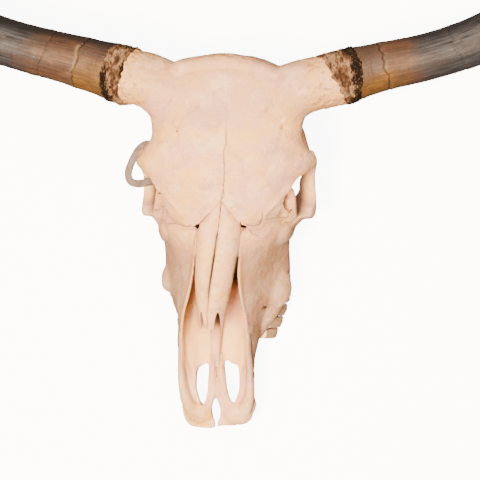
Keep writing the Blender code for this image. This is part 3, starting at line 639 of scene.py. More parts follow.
def boneMasses():
    masses = [faceBody(), forehead(), *buildForms(braincaseForms), frontPlates()]
    for side in (1.0, -1.0):
        masses += [pedicle(side)] + buildForms(earForms, side) + cheekbone(side)
        masses += buildForms({**lowerForms[int(side)], **pterygoidForm}, side)
    return masses


cavity = {
    "half": [(-250, 24), (-219, 30), (-185, 37), (-160, 41), (-112, 43), (-53, 38), (24, 28)],
    "floorZ": [(-250, 42), (-185, 47), (-150, 49), (-100, 51), (-50, 56), (24, 70)],
    "rearY": 24.0,
    "slitY": -22.0,         # the slits beside the nasal bones open in front of this
}


def nasalCavity():
    rings = []
    for y in np.linspace(-250.0, cavity["rearY"], 70):
        half, floorZ = sizesAt(cavity, ("half", "floorZ"), y)
        rimHalf, rimZ = sizesAt(face, ("rimHalf", "rimZ"), y)
        topZ = 200.0 if y < cavity["slitY"] else rimZ - 2.0 - 0.9 * (y - cavity["slitY"])
        edgeZ = min(rimZ, topZ - 2.0)
        left = [(rimHalf - 0.5, topZ), (rimHalf - 0.5, edgeZ), (half, (edgeZ + floorZ) / 2.0),
                (0.86 * half, floorZ + 5.0), (0.6 * half, floorZ)]
        ring = [(0.0, topZ)] + left + [(0.0, floorZ)] + [(-x, z) for x, z in left[::-1]]
        rings.append([(x, y, z) for x, z in ring])
    return loft("nasalCavity", rings)


spaceForms = {
    "palateVault": {"centre": (0, -66, 14), "radii": (40, 92, 22)},
    "choana": {"route": [(0, 4, 52), (0, 40, 50), (0, 84, 30)], "sizes": [(16, 18), (19, 22), (20, 24)],
               "steps": 20},
    "spinalOpening": {"route": [(0, 250, 78), (0, 224, 80), (0, 190, 86)],
                      "sizes": [(19, 18), (18, 17), (14, 14)], "steps": 16},
}
sideSpaceForms = {
    "orbit": {"centre": (112, 68, 115), "radii": (50, 30, 25), "tilt": (0, 20, 12)},
    "behindEye": {"route": [(79, 66, -10), (79, 68, 50), (80, 78, 108)],
                  "sizes": [(18, 10), (17, 15), (14, 18)], "steps": 20, "squareness": 3.0},
    "temporalFossa": {"route": [(86, 84, 88), (83, 116, 92), (78, 142, 98)],
                      "sizes": [(14, 24), (15, 20), (13, 14)], "steps": 20, "squareness": 2.6},
}


def hollows():
    return [nasalCavity(), *buildForms(spaceForms), *buildForms(sideSpaceForms, 1.0),
            *buildForms(sideSpaceForms, -1.0)]


horn = {
    "route": [(70, 188, 150), (102, 202, 155), (140, 210.5, 157), (200, 226.5, 160), (260, 239, 164),
              (325, 260.5, 172), (395, 300, 186), (455, 351, 206), (497, 410, 232)],
    "rightShift": [(70, 0), (105, 6), (125, 7), (150, 6), (200, 7.5), (260, 9), (330, 8), (500, 0)],
    "radius": [(0, 38), (30, 35), (45, 34), (85, 34.3), (118, 33), (165, 30.7), (300, 30), (360, 27.5),
               (430, 21.5), (500, 13), (540, 6), (560, 2.5)],
    "rightExtra": [(0, 0), (45, 1), (75, 3), (118, 2.5), (165, 2.3), (300, 1.5), (560, 0)],
    "boneEnd": 87.0,        # lengths along the horn: the pedicle ends inside the crust
    "sheathStart": 90.0,
    "patternRadius": 33.0,      # patterns are drawn as if the horn were a plain tube of this radius
}


def hornLine(side):         # points down the middle of a horn and its core, and how far along they are
    route = horn["route"]
    if side < 0:
        route = [(x, y + float(curveAt(horn["rightShift"], x)), z) for x, y, z in route]
    line = spline(flip(route, side), 561)
    steps = np.linalg.norm(np.diff(line, axis=0), axis=1)
    return line, np.concatenate([[0.0], np.cumsum(steps)])


def hornFrame(side, run):       # middle, the side towards the nose, the upper side and the radius there
    line, lengths = hornLine(side)

    def at(s):
        return np.stack([np.interp(s, lengths, line[:, k]) for k in range(3)], axis=1)
    middle = at(run)
    ahead = at(run + 2.0) - at(run - 2.0)
    ahead /= np.linalg.norm(ahead, axis=1, keepdims=True)
    noseward = np.cross(ahead, (0.0, 0.0, 1.0)) * side
    noseward /= np.linalg.norm(noseward, axis=1, keepdims=True)
    rise = np.cross(noseward, ahead) * side
    radius = curveAt(horn["radius"], run)
    if side < 0:
        radius = radius + curveAt(horn["rightExtra"], run)
    return middle, noseward, rise, radius


def hornLength(name, side, start, end, rings, extra=0.0, sides=48):
    run = np.linspace(start, min(end, hornLine(side)[1][-1]), rings)
    middle, noseward, rise, radius = hornFrame(side, run)
    turn = np.linspace(0.0, 2.0 * math.pi, sides, endpoint=False)[:, None]
    bodies = [m + (n * np.cos(turn) + r * np.sin(turn)) * (size + extra)
              for m, n, r, size in zip(middle, noseward, rise, radius)]
    return loft(name, bodies)


# small forms on the bone's skin; places are straight (x, y), on the upper side
marks = {
    # (x, y, radius, depth): small hollows, or small rises where the depth is below zero
    "spots": [
        (-63, 143.5, 3.0, 3.0), (-63.5, 149.5, 3.2, -1.6), (-62, 137, 2.8, 1.8), (-12, 191, 2.6, 1.3),
        (78, 153, 2.8, -1.7), (78, 148, 2.8, 2.4), (76, 158, 2.8, 2.0), (56.5, 167, 2.6, 2.0),
        (-51, 107, 2.2, 1.2), (-67, 140, 2.0, 1.5), (82, 146, 2.2, 1.4),
        (56, -80, 3.0, -1.4), (57.5, -84.5, 1.8, 1.0), (61.5, -101, 3.2, -1.5), (95, 101, 3.0, 0.8),
        (64, -108, 2.6, 1.4), (70, -98, 3.0, 1.2), (56, -118, 2.4, 1.2),
        (-38, 60, 12, 1.2), (30, 62, 14, 1.0), (33, 12, 4.5, 3.0), (-29, 11, 4.0, 1.6),
        (60, 60, 16, -1.2), (-60, 62, 16, -1.0), (36, 120, 30, -1.5), (-36, 120, 30, -1.5),
        (0, 96, 14, 1.2), (0, 214, 22, -2.0), (-44, 226, 9, 2.2), (66, 223, 9, 2.0),
    ],
    # fine open cracks and joints, dark with painted shade
    "cracks": [
        [(-78, 43.5), (-81.5, 41), (-85.5, 42.5), (-91, 43.5)], [(-80, 50), (-84, 46), (-88, 48)],
        [(36, 20), (46, 19), (52.5, 20.5), (54.5, 28), (56.5, 36)], [(60, 27), (72, 30), (86, 32), (88, 39)],
        [(-36, 17), (-45, 16), (-55, 18.7), (-65, 21), (-74, 20.5)], [(40, 14), (44, 8), (52, 6)],
        [(1.7, 64), (3.4, 60), (2.8, 55)], [(-31, 11), (-32, 2), (-33, -8)], [(-1.0, -166), (-1.6, -192)],
    ],
    # (points, width, depth): grooves, or ridges where the depth is below zero
    "lines": [
        ([(-62, 150), (-52, 161.5), (-36, 172)], 2.6, 1.7),
        ([(-60, 152), (-50, 163), (-40, 170)], 1.6, -0.5),
        ([(77, 152), (67, 159.5), (56, 167), (48, 170)], 3.0, 1.1),
        ([(-63, 141), (-60, 120), (-52, 100), (-46, 84)], 4.0, 0.7),
        ([(77, 146), (74, 124), (66, 102), (58, 84)], 4.0, 0.8),
        ([(88, 70), (70, 48), (54, 29)], 3.2, -1.5),
        ([(-78, 59), (-63, 43), (-52, 31)], 3.2, -1.4),
        ([(0, 232), (4, 187), (4, 164), (3.5, 127), (1, 114), (2.5, 83), (1.5, 64), (-1.5, 47)], 1.6, 0.3),
        ([(-14, 60), (-30, 88), (-44, 104)], 2.2, 0.35),
        ([(22, 44), (34, 70), (50, 96)], 2.4, 0.4),
        ([(86, 33), (74, 28), (62, 27)], 1.4, -0.9),
        ([(92, 36), (78, 31), (66, 31)], 1.2, -0.7),
        ([(60, -20), (56, -44), (50, -60)], 3.0, 0.5),
        ([(46, -28), (40, -62), (44, -96)], 2.6, 0.4),
        ([(-60, -20), (-52, -50), (-50, -90)], 2.6, 0.45),
    ],
}


def nearLine(points, line):
    best = np.full(len(points), 1e9)
    for a, b in zip(line[:-1], line[1:]):
        a, b = np.array(a, float), np.array(b, float)
        ahead = b - a
        share = np.clip(((points - a) @ ahead) / (ahead @ ahead), 0.0, 1.0)
        best = np.minimum(best, np.linalg.norm(points - a - share[:, None] * ahead, axis=1))
    return best


def crackShare(points, width):      # 1 on a crack, fading to 0 at its edges
    share = np.zeros(len(points))
    for number, line in enumerate(marks["cracks"]):
        fine = wander(line, 0.8, 50 + number)[:, :2]
        close = np.abs(points[:, :2] - fine.mean(axis=0)).max(axis=1) < 40.0
        near = nearLine(points[close][:, :2], fine)
        share[close] = np.maximum(share[close], np.exp(-(near / width) ** 2))
    return share


def skinDetail(points, normals):        # how far the skin stands out, along its normal
    upper = smoothStep(normals[:, 2], 0.0, 0.35)
    plan = points[:, :2]
    rise = 0.75 * softNoise(points, 36.0, 1) + 0.34 * softNoise(points, 13.0, 2)
    rise += 0.14 * softNoise(points, 5.5, 3)
    for x, y, radius, depth in marks["spots"]:
        near = np.hypot(plan[:, 0] - x, plan[:, 1] - y)
        rise -= depth * np.exp(-(near / radius) ** 2) * upper
    for line, width, depth in marks["lines"]:
        fine = spline(line, 30)
        close = np.abs(plan - fine.mean(axis=0)).max(axis=1) < 140.0
        near = nearLine(plan[close], fine)
        rise[close] -= depth * np.exp(-(near / width) ** 2) * upper[close]
    rise -= 0.7 * crackShare(points, 1.5) * upper
    # strands of rough bone on the poll, the tuber and the pedicles' ends
    rough = smoothStep(points[:, 1], 205.0, 240.0) * 0.6
    outer = np.abs(points[:, 0])
    rough += smoothStep(outer, 106.0, 126.0) * smoothStep(points[:, 1], 150.0, 165.0) * 1.3
    rough += np.exp(-((outer - 76.0) / 16.0) ** 2 - ((points[:, 1] + 60.0) / 34.0) ** 2) \
        * smoothStep(points[:, 2], 75.0, 50.0)
    rough += smoothStep(points[:, 2], 70.0, 40.0) * smoothStep(points[:, 1], 80.0, 120.0) * 0.6
    strands = softNoise(points * (1.0, 0.45, 1.0), 3.4, 5) + 0.6 * softNoise(points, 7.0, 6)
    return rise + rough * 0.55 * strands


# the openings in the front of the snout, outlines from above
snoutHoles = {
    "leftSlot": [(11.5, -169), (21, -173), (30.5, -178), (30.5, -205), (26, -220), (21, -229), (14.5, -217),
                 (11.5, -195)],
    "rightSlot": [(-13, -175), (-21, -177), (-28, -184), (-30.5, -206), (-27, -222), (-22.5, -233),
                  (-17, -221), (-14, -196)],
    "almond": [(-3.6, -221), (0.6, -229), (2.9, -239), (1.6, -250), (-2.0, -258), (-2.2, -280),
               (-5.4, -280), (-5.2, -258), (-8.2, -250), (-10, -239), (-8, -229)],
}

# the small holes that stay open where a nasal bone, the forehead and the cheek meet
cornerHoles = {
    -1: [(-34.5, 17.0), (-29.5, 20.5), (-26.0, 20.0), (-27.5, 12.5)],
    1: [(26.6, 26.6), (29.8, 20.5), (37.0, 18.4), (36.2, 15.6), (28.0, 16.6)],
}


def skullHoles():
    made = [prism("cornerHole", line, 120.0, 190.0) for line in cornerHoles.values()]
    # the nerve holes of the cheeks and above the eyes
    nerveHoles = [((62.5, -95, 80), (58, -90, 48), 1.9), ((-69, -90, 92), (-60, -84, 66), 2.1),
                  ((-63, 143.5, 185), (-61, 140, 168), 1.5), ((78, 148.5, 184), (75, 145, 166), 1.2),
                  ((91.5, 39.5, 120), (84, 42, 104), 2.6), ((-93, 37.0, 120), (-86, 42, 104), 2.2)]
    for a, b, radius in nerveHoles:
        middle = tuple((np.array(a) + np.array(b)) / 2.0)
        made.append(bar("nerveHole", [a, middle, b], [(radius * 1.3, radius * 1.3), (radius, radius)], 8, 14))
    return made


def grownBone():
    whole = merge("bone", boneMasses())
    cut(whole, merge("spaces", hollows()))
    late = []
    for side in (1.0, -1.0):
        late += buildForms(snoutForms, side) + [noseLip(side)] + buildForms(eyePlateForm, side)
    whole = merge("bone", [whole] + late)
    for line in snoutHoles.values():
        cut(whole, prism("snoutHole", spline(line, 70, closed=True), 0.0, 90.0))
    whole = merge("bone", [whole], bone["smoothing"])
    points = pointsOf(whole.data)
    normals = normalsOf(whole.data)
    setPoints(whole.data, points + normals * skinDetail(points, normals)[:, None])
    for hole in skullHoles():
        cut(whole, hole)
    for side in (1.0, -1.0):
        cut(whole, hornLength("beyond", side, horn["boneEnd"], 170.0, 6, 16.0))
    cut(whole, prism("floor", [(-300, -300), (300, -300), (300, 300), (-300, 300)], -60.0, bone["floorZ"]))
    return bendBone(whole)


# pieces with a shape of their own

nasal = {
    "outerHalf": [(-124, 16), (-99, 19), (-63, 24.5), (-22, 28.5), (16, 29.5), (30, 19), (48, 2.5)],
    "crestZ": [(-124, 111), (-99, 123), (-63, 137), (-22, 148.5), (16, 156), (48, 163.6)],
    "edgeDrop": [(-124, 9), (-99, 13), (-22, 16), (16, 12.5), (48, 1)],
    "thick": 4.5,
    "frontY": -121.0,
    "rootY": 48.0,
    # half of the groove between the two bones, which is open in front of y 8 and shut at the tips
    "middleGap": [(-121, 0.2), (-85, 0.35), (-60, 0.8), (-40, 1.1), (-5, 1.1), (10, 0.4), (48, 0.2)],
}


def nasalBone(side, grow=0.0):
    rings = []
    places = [*np.linspace(nasal["frontY"], 30.0, 90), 33.0, 36.0, 39.0, 42.0, 44.5, nasal["rootY"]]
    if grow > 0.0:
        places = [nasal["frontY"] - 10.0] + places[:-1] + [nasal["rootY"] + grow]
    for y in places:
        outer, crestZ, drop = sizesAt(nasal, ("outerHalf", "crestZ", "edgeDrop"), y)
        gap = float(curveAt(nasal["middleGap"], y))
        start = seamX(y) + side * (gap if grow == 0.0 else -0.5)
        reach = side * (outer + grow) - start
        top = 40.0 if grow > 0.0 else 0.0
        thick = nasal["thick"] + 2.5 * grow
        dip = 1.0 if grow == 0.0 else 3.0
        outline = [
            (0.0, crestZ - 3.0 + top), (0.03, crestZ - 1.9 + top), (0.12, crestZ - 0.9 + top),
            (0.22, crestZ - 0.2 + top), (0.35, crestZ + top), (0.48, crestZ - 0.05 * drop + top),
            (0.6, crestZ - 0.13 * drop + top), (0.7, crestZ - 0.25 * drop + top),
            (0.8, crestZ - 0.4 * drop + top), (0.88, crestZ - 0.57 * drop + top),
            (0.94, crestZ - 0.75 * drop + top), (1.0, crestZ - drop + top),
            (1.0, crestZ - drop - 2.0 - grow), (0.9, crestZ - 0.8 * drop - thick * 0.8),
            (0.6, crestZ - 0.2 * drop - thick), (0.3, crestZ - dip - thick), (0.0, crestZ - 3.0 - thick)]
        rings.append([(start + reach * share, y, z) for share, z in outline])
    return bendBone(loft("nasal_" + sideName(side), rings))


def nasalNotch(side):       # each bone's front end is split in two points
    if side > 0:
        line = [(4.8, -134), (5.6, -116), (7.6, -103), (10.4, -97), (12.6, -102), (13.8, -114), (14.2, -134)]
    else:
        line = [(-5.6, -134), (-6.4, -119), (-8.6, -109), (-10.6, -99.5), (-12.4, -96.8), (-13.4, -100),
                (-12.8, -110), (-11.6, -121), (-11.2, -134)]
    return bendBone(prism("notch", spline(line, 40, closed=True), 60.0, 200.0))


def vomer(grow=0.0):
    route = [(-0.6, -176 - grow, 50), (-0.2, -140, 57), (0.2, -90, 64), (0, -30, 74), (0, 16 + grow, 84)]
    sizes = [(5.4, 5), (7.6, 9), (7.8, 14), (6.2, 20), (4.0, 22)]
    return bendBone(bar("vomer", route, [(a + grow, b + grow) for a, b in sizes], 60, 28, 3.6))


teeth = {
    "lengths": [15.0, 17.0, 18.0, 25.0, 28.0, 29.0],
    "frontY": -139.0,
    "outerHalf": [(-139, 62), (-105, 71), (-60, 76), (-7, 74)],
    "extra": {1: [(-139, 9), (-117, 7.5), (-105, 5.5), (-60, 0)], -1: [(-139, -3.5), (-60, -3.5)]},
    "width": [(-139, 15), (-105, 20), (-60, 24), (-7, 22)],
    "rootZ": 35.0,
    "space": 0.5,
    "squareness": 5.0,
    "levels": [(0.9, 0.0), (6.0, 0.0), (16.0, 0.6), (26.0, 1.6)],       # (z, how much smaller all round)
    "lean": {"base": 3.0, "perMm": 0.16, "leftPerMm": 0.13, "leftFromZ": 10.0},
    "wear": [(1.3, 0.0), (0.5, 0.9), (3.2, -0.5), (0.4, 1.3)],      # (step inward, step up) of the worn face
}


def toothRow(side, grow=0.0):       # six cheek teeth, each with its folds; grow makes their sockets
    crowns = []
    y = teeth["frontY"]
    for number, length in enumerate(teeth["lengths"]):
        near, far = y + teeth["space"] / 2.0, y + length - teeth["space"] / 2.0
        outer, width = sizesAt(teeth, ("outerHalf", "width"), y + length / 2.0)
        outer += float(curveAt(teeth["extra"][side], y + length / 2.0))
        folds = 2.0 if number > 2 else 1.0
        turn = np.linspace(0.0, 2.0 * math.pi, 64, endpoint=False)
        c, s = np.cos(turn), np.sin(turn)
        square = (np.abs(c) ** teeth["squareness"] + np.abs(s) ** teeth["squareness"])
        square = square ** (-1.0 / teeth["squareness"])
        rings = []
        levels = [(bone["floorZ"], 0.7), *teeth["levels"], (teeth["rootZ"], 2.6)]
        if grow > 0.0:
            levels = [(-3.0, 0.0), *teeth["levels"][1:], (teeth["rootZ"] + 1.0, 2.4)]
        for z, inset in levels:
            lean = teeth["lean"]["base"] - teeth["lean"]["perMm"] * z
            lean -= teeth["lean"]["leftPerMm"] * max(z - teeth["lean"]["leftFromZ"], 0.0) * (side > 0)
            half, long = width / 2.0 - inset + grow, (far - near) / 2.0 - inset * 0.5 + grow * 0.8
            ripple = 1.0 + 0.055 * np.cos(folds * 2.0 * math.pi * s) * (c > 0.0) * np.abs(c)
            ripple = ripple - 0.05 * np.exp(-(s / 0.22) ** 2) * (c < 0.0) * (folds > 1.0)
            x = outer - width / 2.0 + lean + half * c * square * ripple
            v = (near + far) / 2.0 + long * s * square
            rings.append([(a * side, b, z) for a, b in zip(x, v)])
        crown = bendBone(loft("crown", rings))
        if grow == 0.0:
            wearFace(crown)
        crowns.append(crown)
        y += length
    shape = bmesh.new()
    for crown in crowns:
        shape.from_mesh(crown.data)
        bpy.data.objects.remove(crown)
    return addBody("teeth_" + sideName(side), shape)


def wearFace(crown):        # the worn face: an enamel rim round softer ivory, worn a little hollow
    shape = bmesh.new()
    shape.from_mesh(crown.data)
    floorFace = min(shape.faces, key=lambda f: f.calc_center_median().z)
    for inset, lift in teeth["wear"]:
        bmesh.ops.inset_individual(shape, faces=[floorFace], thickness=inset * mm, depth=0.0)
        for corner in floorFace.verts:
            corner.co.z += lift * mm
    bmesh.ops.recalc_face_normals(shape, faces=shape.faces)
    shape.to_mesh(crown.data)
    shape.free()


def frontalSuture():        # along the front of the frontal bones, outward from the middle on both sides
    left = [(0, 15, 128), (24, 17.5, 128), (42, 19.5, 128), (51, 18.5, 128), (55, 28, 128), (60, 33.5, 128),
            (68, 35, 128), (80, 33, 128), (97, 38, 104), (150, 38, 104)]
    right = [(0, 15, 128), (-26, 17, 128), (-42, 16.5, 128), (-55, 18.5, 128), (-64, 22, 128),
             (-69, 31, 128), (-75, 39, 128), (-84, 40.5, 128), (-97, 40, 104), (-150, 40, 104)]
    front = wander(right[::-1] + left[1:], 0.9, 4)
    front[:, 2] += 1.2 * lineNoise(front[:, 0], 6.0, 8)
    rear = [(x, 275, z) for x, y, z in front]
    above = [(x, y, 215) for x, y, z in front]
    return [sheet(front, rear), sheet(front, above)]


def partFace(half, side):
    name = sideName(side)
    slope = [(-154, 125), (-175, 62), (-185, 8)]        # (y, z) of the joint behind the premaxilla
    cutter = sheet([(-9 * side, y, z) for y, z in slope], [(100 * side, y, z) for y, z in slope], 0.03)
    premaxilla, rest = part(half, [cutter], lambda m: m[1] < -180)
    premaxilla.name = "premaxilla_" + name
    plan = flip([(84, 72), (80, 44), (88, 16), (98, -2), (140, -14)], side)
    cheek, rest = part(rest, [wall(plan, 10, 135, 0.8, 11)], lambda m: m[0] * side > 80)
    cheek.name = "zygomatic_" + name
    inner, lowZ = 29.5, 97
    line = wander(flip([(inner, 66), (inner, -6), (44, -15), (70, -12), (86, 4), (92, 12)], side), 0.8, 13)
    low = [(x, y, lowZ) for x, y in line]
    rear = [((inner + k) * side, 67, lowZ) for k in np.linspace(0.0, 82.0, len(line))]
    cutters = [sheet(low, [(x, y, 215) for x, y in line]), sheet(low, rear)]
    lacrimal, maxilla = part(rest, cutters, lambda m: m[2] > 100)
    lacrimal.name = "lacrimal_" + name
    maxilla.name = "maxilla_" + name


def partBone(whole):
    for side in (1.0, -1.0):
        cut(whole, nasalBone(side, 0.03))
    cut(whole, vomer(0.1))
    upper, rest = part(whole, frontalSuture(), lambda m: m[2] > 135)
    seam = [(0, 5), (0, 35), (-1.8, 47), (1.7, 63), (2.8, 83), (0.9, 113), (3.6, 127), (4.1, 164),
            (5.4, 187), (4.6, 230), (4, 275)]
    halves = part(upper, [wall(seam, 90, 220, 0.7, 21)], lambda m: m[0] > 0)
    halves[0].name, halves[1].name = "frontal_left", "frontal_right"
    print("forehead parted")

    ring = [(-150, 104), (-90, 104), (-90, 60), (90, 60), (90, 104), (150, 104)]
    box, faceHalves = part(rest, [wall(ring, -20, 150, 0.0)], lambda m: m[1] > 80)
    nape, box = part(box, [wall([(-130, 174), (130, 174)], -20, 150, 1.0, 23)], lambda m: m[1] > 180)
    nape.name = "occipital"
    for side in (1.0, -1.0):
        plan = [(56.5 * side, 40), (56.5 * side, 190)]
        temple, box = part(box, [wall(plan, -20, 150, 1.0, 25)], lambda m: m[0] * side > 60)
        temple.name = "temporal_" + sideName(side)
    box.name = "braincase"
    print("braincase parted")

    seam = [(seamX(y), y) for y in (-285, -200, -150, -110, -75, -45, -15, 20, 45, 75)]
    halves = part(faceHalves, [wall(seam, -20, 220, 0.35, 27)], lambda m: m[0] > 0)
    for side, half in zip((1.0, -1.0), halves):
        partFace(half, side)
    print("face parted")


# pieces of the horns

# waves are lumps of noise round a horn: (height, width, share of the run along the horn, seed)
sheath = {
    "seed": {1: 40, -1: 60},
    "maskSeed": {1: 80, -1: 95},
    "sides": 132,
    "ringStep": 0.55,     # near the skull, where there is more to see
    "farStep": 1.5,
    "fineUntil": 215.0,
    # each line goes round a horn at length a + b cos + c sin; the cosine is 1 towards the nose and the
    # sine is 1 on the upper side
    "crack": {1: (141.0, 3.0, 2.5), -1: (130.0, 2.0, 5.0)},
    "crustFrom": {1: (69.5, 12.5, 6.5), -1: (63.5, 2.5, 10.5)},
    "crustTo": {1: (103.5, -3.5, 11.0), -1: (88.5, -1.5, 11.5)},
    "faintRing": {1: (236.0, 4.0, 1.0), -1: (180.0, 6.0, 0.0)},
    "tip": 10.0,        # length of the rounded end
    "crackDepth": 1.1,
    "lip": 0.6,
    # broad lumps, then fine ridges along the horn
    "waves": [(0.9, 46.0, 1.0, 0), (0.35, 16.0, 0.35, 1), (0.16, 3.2, 0.05, 2), (0.10, 1.7, 0.06, 3)],
    "ragged": [(2.4, 10.0, 0.0, 6), (1.2, 3.6, 0.0, 7)],
    "peeling": [(3.4, 8.0, 0.0, 10), (1.5, 2.6, 0.0, 14)],
    "torn": [(3.0, 11.0, 0.3, 0), (2.4, 4.0, 0.4, 1)],
}


def lineRound(name, side, angle):
    a, b, c = sheath[name][int(side)]
    return a + b * np.cos(angle) + c * np.sin(angle)


def roundNoise(angle, size, seed, along=0.0, radius=horn["patternRadius"]):
    angle = np.asarray(angle, float)
    along = np.zeros(angle.shape) + along
    places = np.stack([along.ravel(), radius * np.cos(angle).ravel(), radius * np.sin(angle).ravel()], axis=1)
    return softNoise(places, size, seed).reshape(angle.shape)


def roundWaves(angle, run, seed, waves):
    return sum(high * roundNoise(angle, wide, seed + number, run * share)
               for high, wide, share, number in waves)


def pastLines(side, run, turn):     # how far each place is past the crack, the shallow ring and the crust
    ragged = roundWaves(turn, run, sheath["seed"][int(side)], sheath["ragged"])
    return (run - lineRound("crack", side, turn) - ragged,
            run - lineRound("faintRing", side, turn) - 0.6 * ragged,
            run - lineRound("crustTo", side, turn))


def tube(name, side, runs, heights, sides):     # heights: how far the skin is from the horn's own surface
    middle, noseward, rise, radius = hornFrame(side, runs)
    angle = np.linspace(0.0, 2.0 * math.pi, sides, endpoint=False)
    c, s = np.cos(angle)[None, :, None], np.sin(angle)[None, :, None]
    reach = (radius[:, None] + heights)[:, :, None]
    points = middle[:, None] + (noseward[:, None] * c + rise[:, None] * s) * reach
    points = points.reshape(-1, 3)
    rings, total = len(runs), len(runs) * sides
    points = np.concatenate([points, middle[:1], middle[-1:]])
    here = np.arange(total - sides).reshape(rings - 1, sides)
    beside = np.roll(here, -1, axis=1)
    quads = np.stack([here, beside, beside + sides, here + sides], axis=-1).reshape(-1, 4)
    triangles = np.concatenate([quads[:, [0, 1, 2]], quads[:, [0, 2, 3]]])
    first = np.arange(sides)
    last = first + total - sides
    caps = np.concatenate([np.stack([np.roll(first, -1), first, first * 0 + total], axis=1),
                           np.stack([last, np.roll(last, -1), last * 0 + total + 1], axis=1)])
    triangles = np.concatenate([triangles, caps])
    if side < 0:
        triangles = triangles[:, ::-1]
    thing = bendBone(meshBody(name, points * mm, triangles))
    along = np.concatenate([np.repeat(runs, sides), runs[:1], runs[-1:]])
    round_ = np.concatenate([np.tile(angle, rings), [0.0, 0.0]])
    return thing, along, round_


def hornSheath(side):
    end = hornLine(side)[1][-1]
    near = np.arange(horn["sheathStart"], sheath["fineUntil"], sheath["ringStep"])
    far = np.arange(sheath["fineUntil"], end - sheath["tip"], sheath["farStep"])
    roundEnd = end - sheath["tip"] * (1.0 - np.sin(np.linspace(0.0, 0.5 * math.pi, 14)))
    runs = np.concatenate([near, far, roundEnd[1:]])
    angle = np.linspace(0.0, 2.0 * math.pi, sheath["sides"], endpoint=False)
    run, turn = np.meshgrid(runs, angle, indexing="ij")
    seed = sheath["seed"][int(side)]
    heights = roundWaves(turn, run, seed, sheath["waves"]) * smoothStep(end - run, 0.0, 60.0)
    # growth rings that fade outward
    rings = lineNoise(runs + 0.0, 7.0, seed + 4)[:, None] + 0.5 * lineNoise(runs, 3.0, seed + 5)[:, None]
    heights += 0.28 * rings * smoothStep(run, 330.0, 150.0)
    # the crack ring with its lifted lip, and the shallow ring farther out
    past, faint, edge = pastLines(side, run, turn)
    heights -= sheath["crackDepth"] * np.exp(-(past / 0.75) ** 2)
    heights += sheath["lip"] * smoothStep(past, 0.3, 1.6) * smoothStep(past, 16.0, 3.0)
    heights += 0.5 * smoothStep(past, -9.0, -1.2) * smoothStep(past, -0.6, -1.4) \
        * (0.5 + 0.5 * roundNoise(turn, 5.0, seed + 8))
    heights -= 0.5 * np.exp(-(faint / 1.4) ** 2)
    heights += 0.35 * smoothStep(faint, 0.5, 2.5) * smoothStep(faint, 26.0, 6.0)
    # peeling layers where the horn comes out of the crust
    for number, reach in enumerate((3.0, 8.0, 14.0)):
        torn = roundWaves(turn, run, seed + number, sheath["peeling"])
        heights += 0.4 * smoothStep(edge - reach - torn, 0.6, -0.6) * smoothStep(edge, -20.0, -4.0)
    radius = hornFrame(side, runs)[3][:, None]
    heights = np.maximum(heights, -0.35 * radius)
    inTip = np.clip((run - end) / sheath["tip"] + 1.0, 0.0, 0.999)
    heights -= (radius + heights) * (1.0 - np.sqrt(1.0 - inTip ** 2))
    thing, along, round_ = tube("sheath" + sideName(side).title(), side, runs, heights, sheath["sides"])
    hornMasks(thing, side, along, round_)
    return thing


def hornMasks(thing, side, along, turn):
    seed = sheath["maskSeed"][int(side)]
    nose, up = np.cos(turn), np.sin(turn)
    torn = roundWaves(turn, along, seed, sheath["torn"])
    past, faint, edge = pastLines(side, along, turn)
    base = smoothStep(past + torn * 0.3, 2.0, -2.0)     # the stretch between crust and crack
    if side > 0:
        wide = smoothStep(nose - 0.25 * up + 0.2 * torn / 3.0, -0.25, 0.35)
        amber = np.maximum(base, 0.75 * smoothStep(along + 2.0 * torn, 182.0, 146.0)) * wide
        brown = smoothStep(along + 2.6 * torn, 202.0, 172.0)
        dusk = smoothStep(-nose, 0.2, 0.85) * smoothStep(along, 165.0, 195.0) * 0.8
    else:
        wide = smoothStep(nose + 0.16 * torn / 3.0, -0.22, 0.2)
        amber = base * wide
        brown = smoothStep(along + 5.0 * torn, 225.0, 165.0)
        dusk = smoothStep(-nose + 0.1 * torn / 3.0, 0.3, 0.8)
    amber = amber * smoothStep(edge + torn, -3.0, 4.0)
    plum = smoothStep(past + 2.0 * torn, 12.0, -4.0) * (1.0 - amber)
    dark = smoothStep(along + 4.0 * torn, 350.0, 480.0)
    # a painted highlight on the crack's lifted lip
    pale = np.exp(-((past - 2.6 + 0.5 * torn) / 2.2) ** 2) \
        * smoothStep(roundNoise(turn, 6.0, seed + 3, along * 0.5), -0.1, 0.6)
    broken = 0.35 + 0.65 * smoothStep(roundNoise(turn, 5.0, seed + 4, along * 0.2), -0.5, 0.3)
    # the crack and the shallow ring drawn dark as painted shade in their grooves
    crack = np.exp(-(past / 0.7) ** 2) * broken
    crack = np.maximum(crack, 0.4 * np.exp(-(faint / 0.9) ** 2))
    for name, values in {"amber": amber, "plum": plum, "brown": brown, "darkHorn": dark, "dusk": dusk,
                         "pale": pale, "crack": crack}.items():
        setMask(thing, name, values)
    setPlace(thing, along, turn)


crust = {
    "from": 44.0, "to": 128.0,
    "step": 0.5,
    "sides": 230,
    "thick": 2.1,
    "thinnest": 1.5,
    "sink": 3.2,        # outside its edges the crust's skin runs this deep under the bone and the horn
    "layersPerMm": 2.6,
    "seed": {1: 120, -1: 140},
    "tearing": [(3.6, 12.0, 0.2, 0), (2.2, 4.5, 0.3, 1), (1.1, 1.8, 0.5, 2)],
    "flakes": [(1.0, 11.0, 2.0, 3), (0.6, 4.2, 1.8, 4)],
    "grain": [(0.6, 2.4, 1.6, 5), (0.4, 1.2, 1.0, 6)],
    "lumps": [(1.1, 17.0, 1.0, 7)],
    "char": [(0.7, 13.0, 1.7, 9), (0.8, 4.6, 2.0, 10), (0.7, 1.9, 1.3, 11)],
}


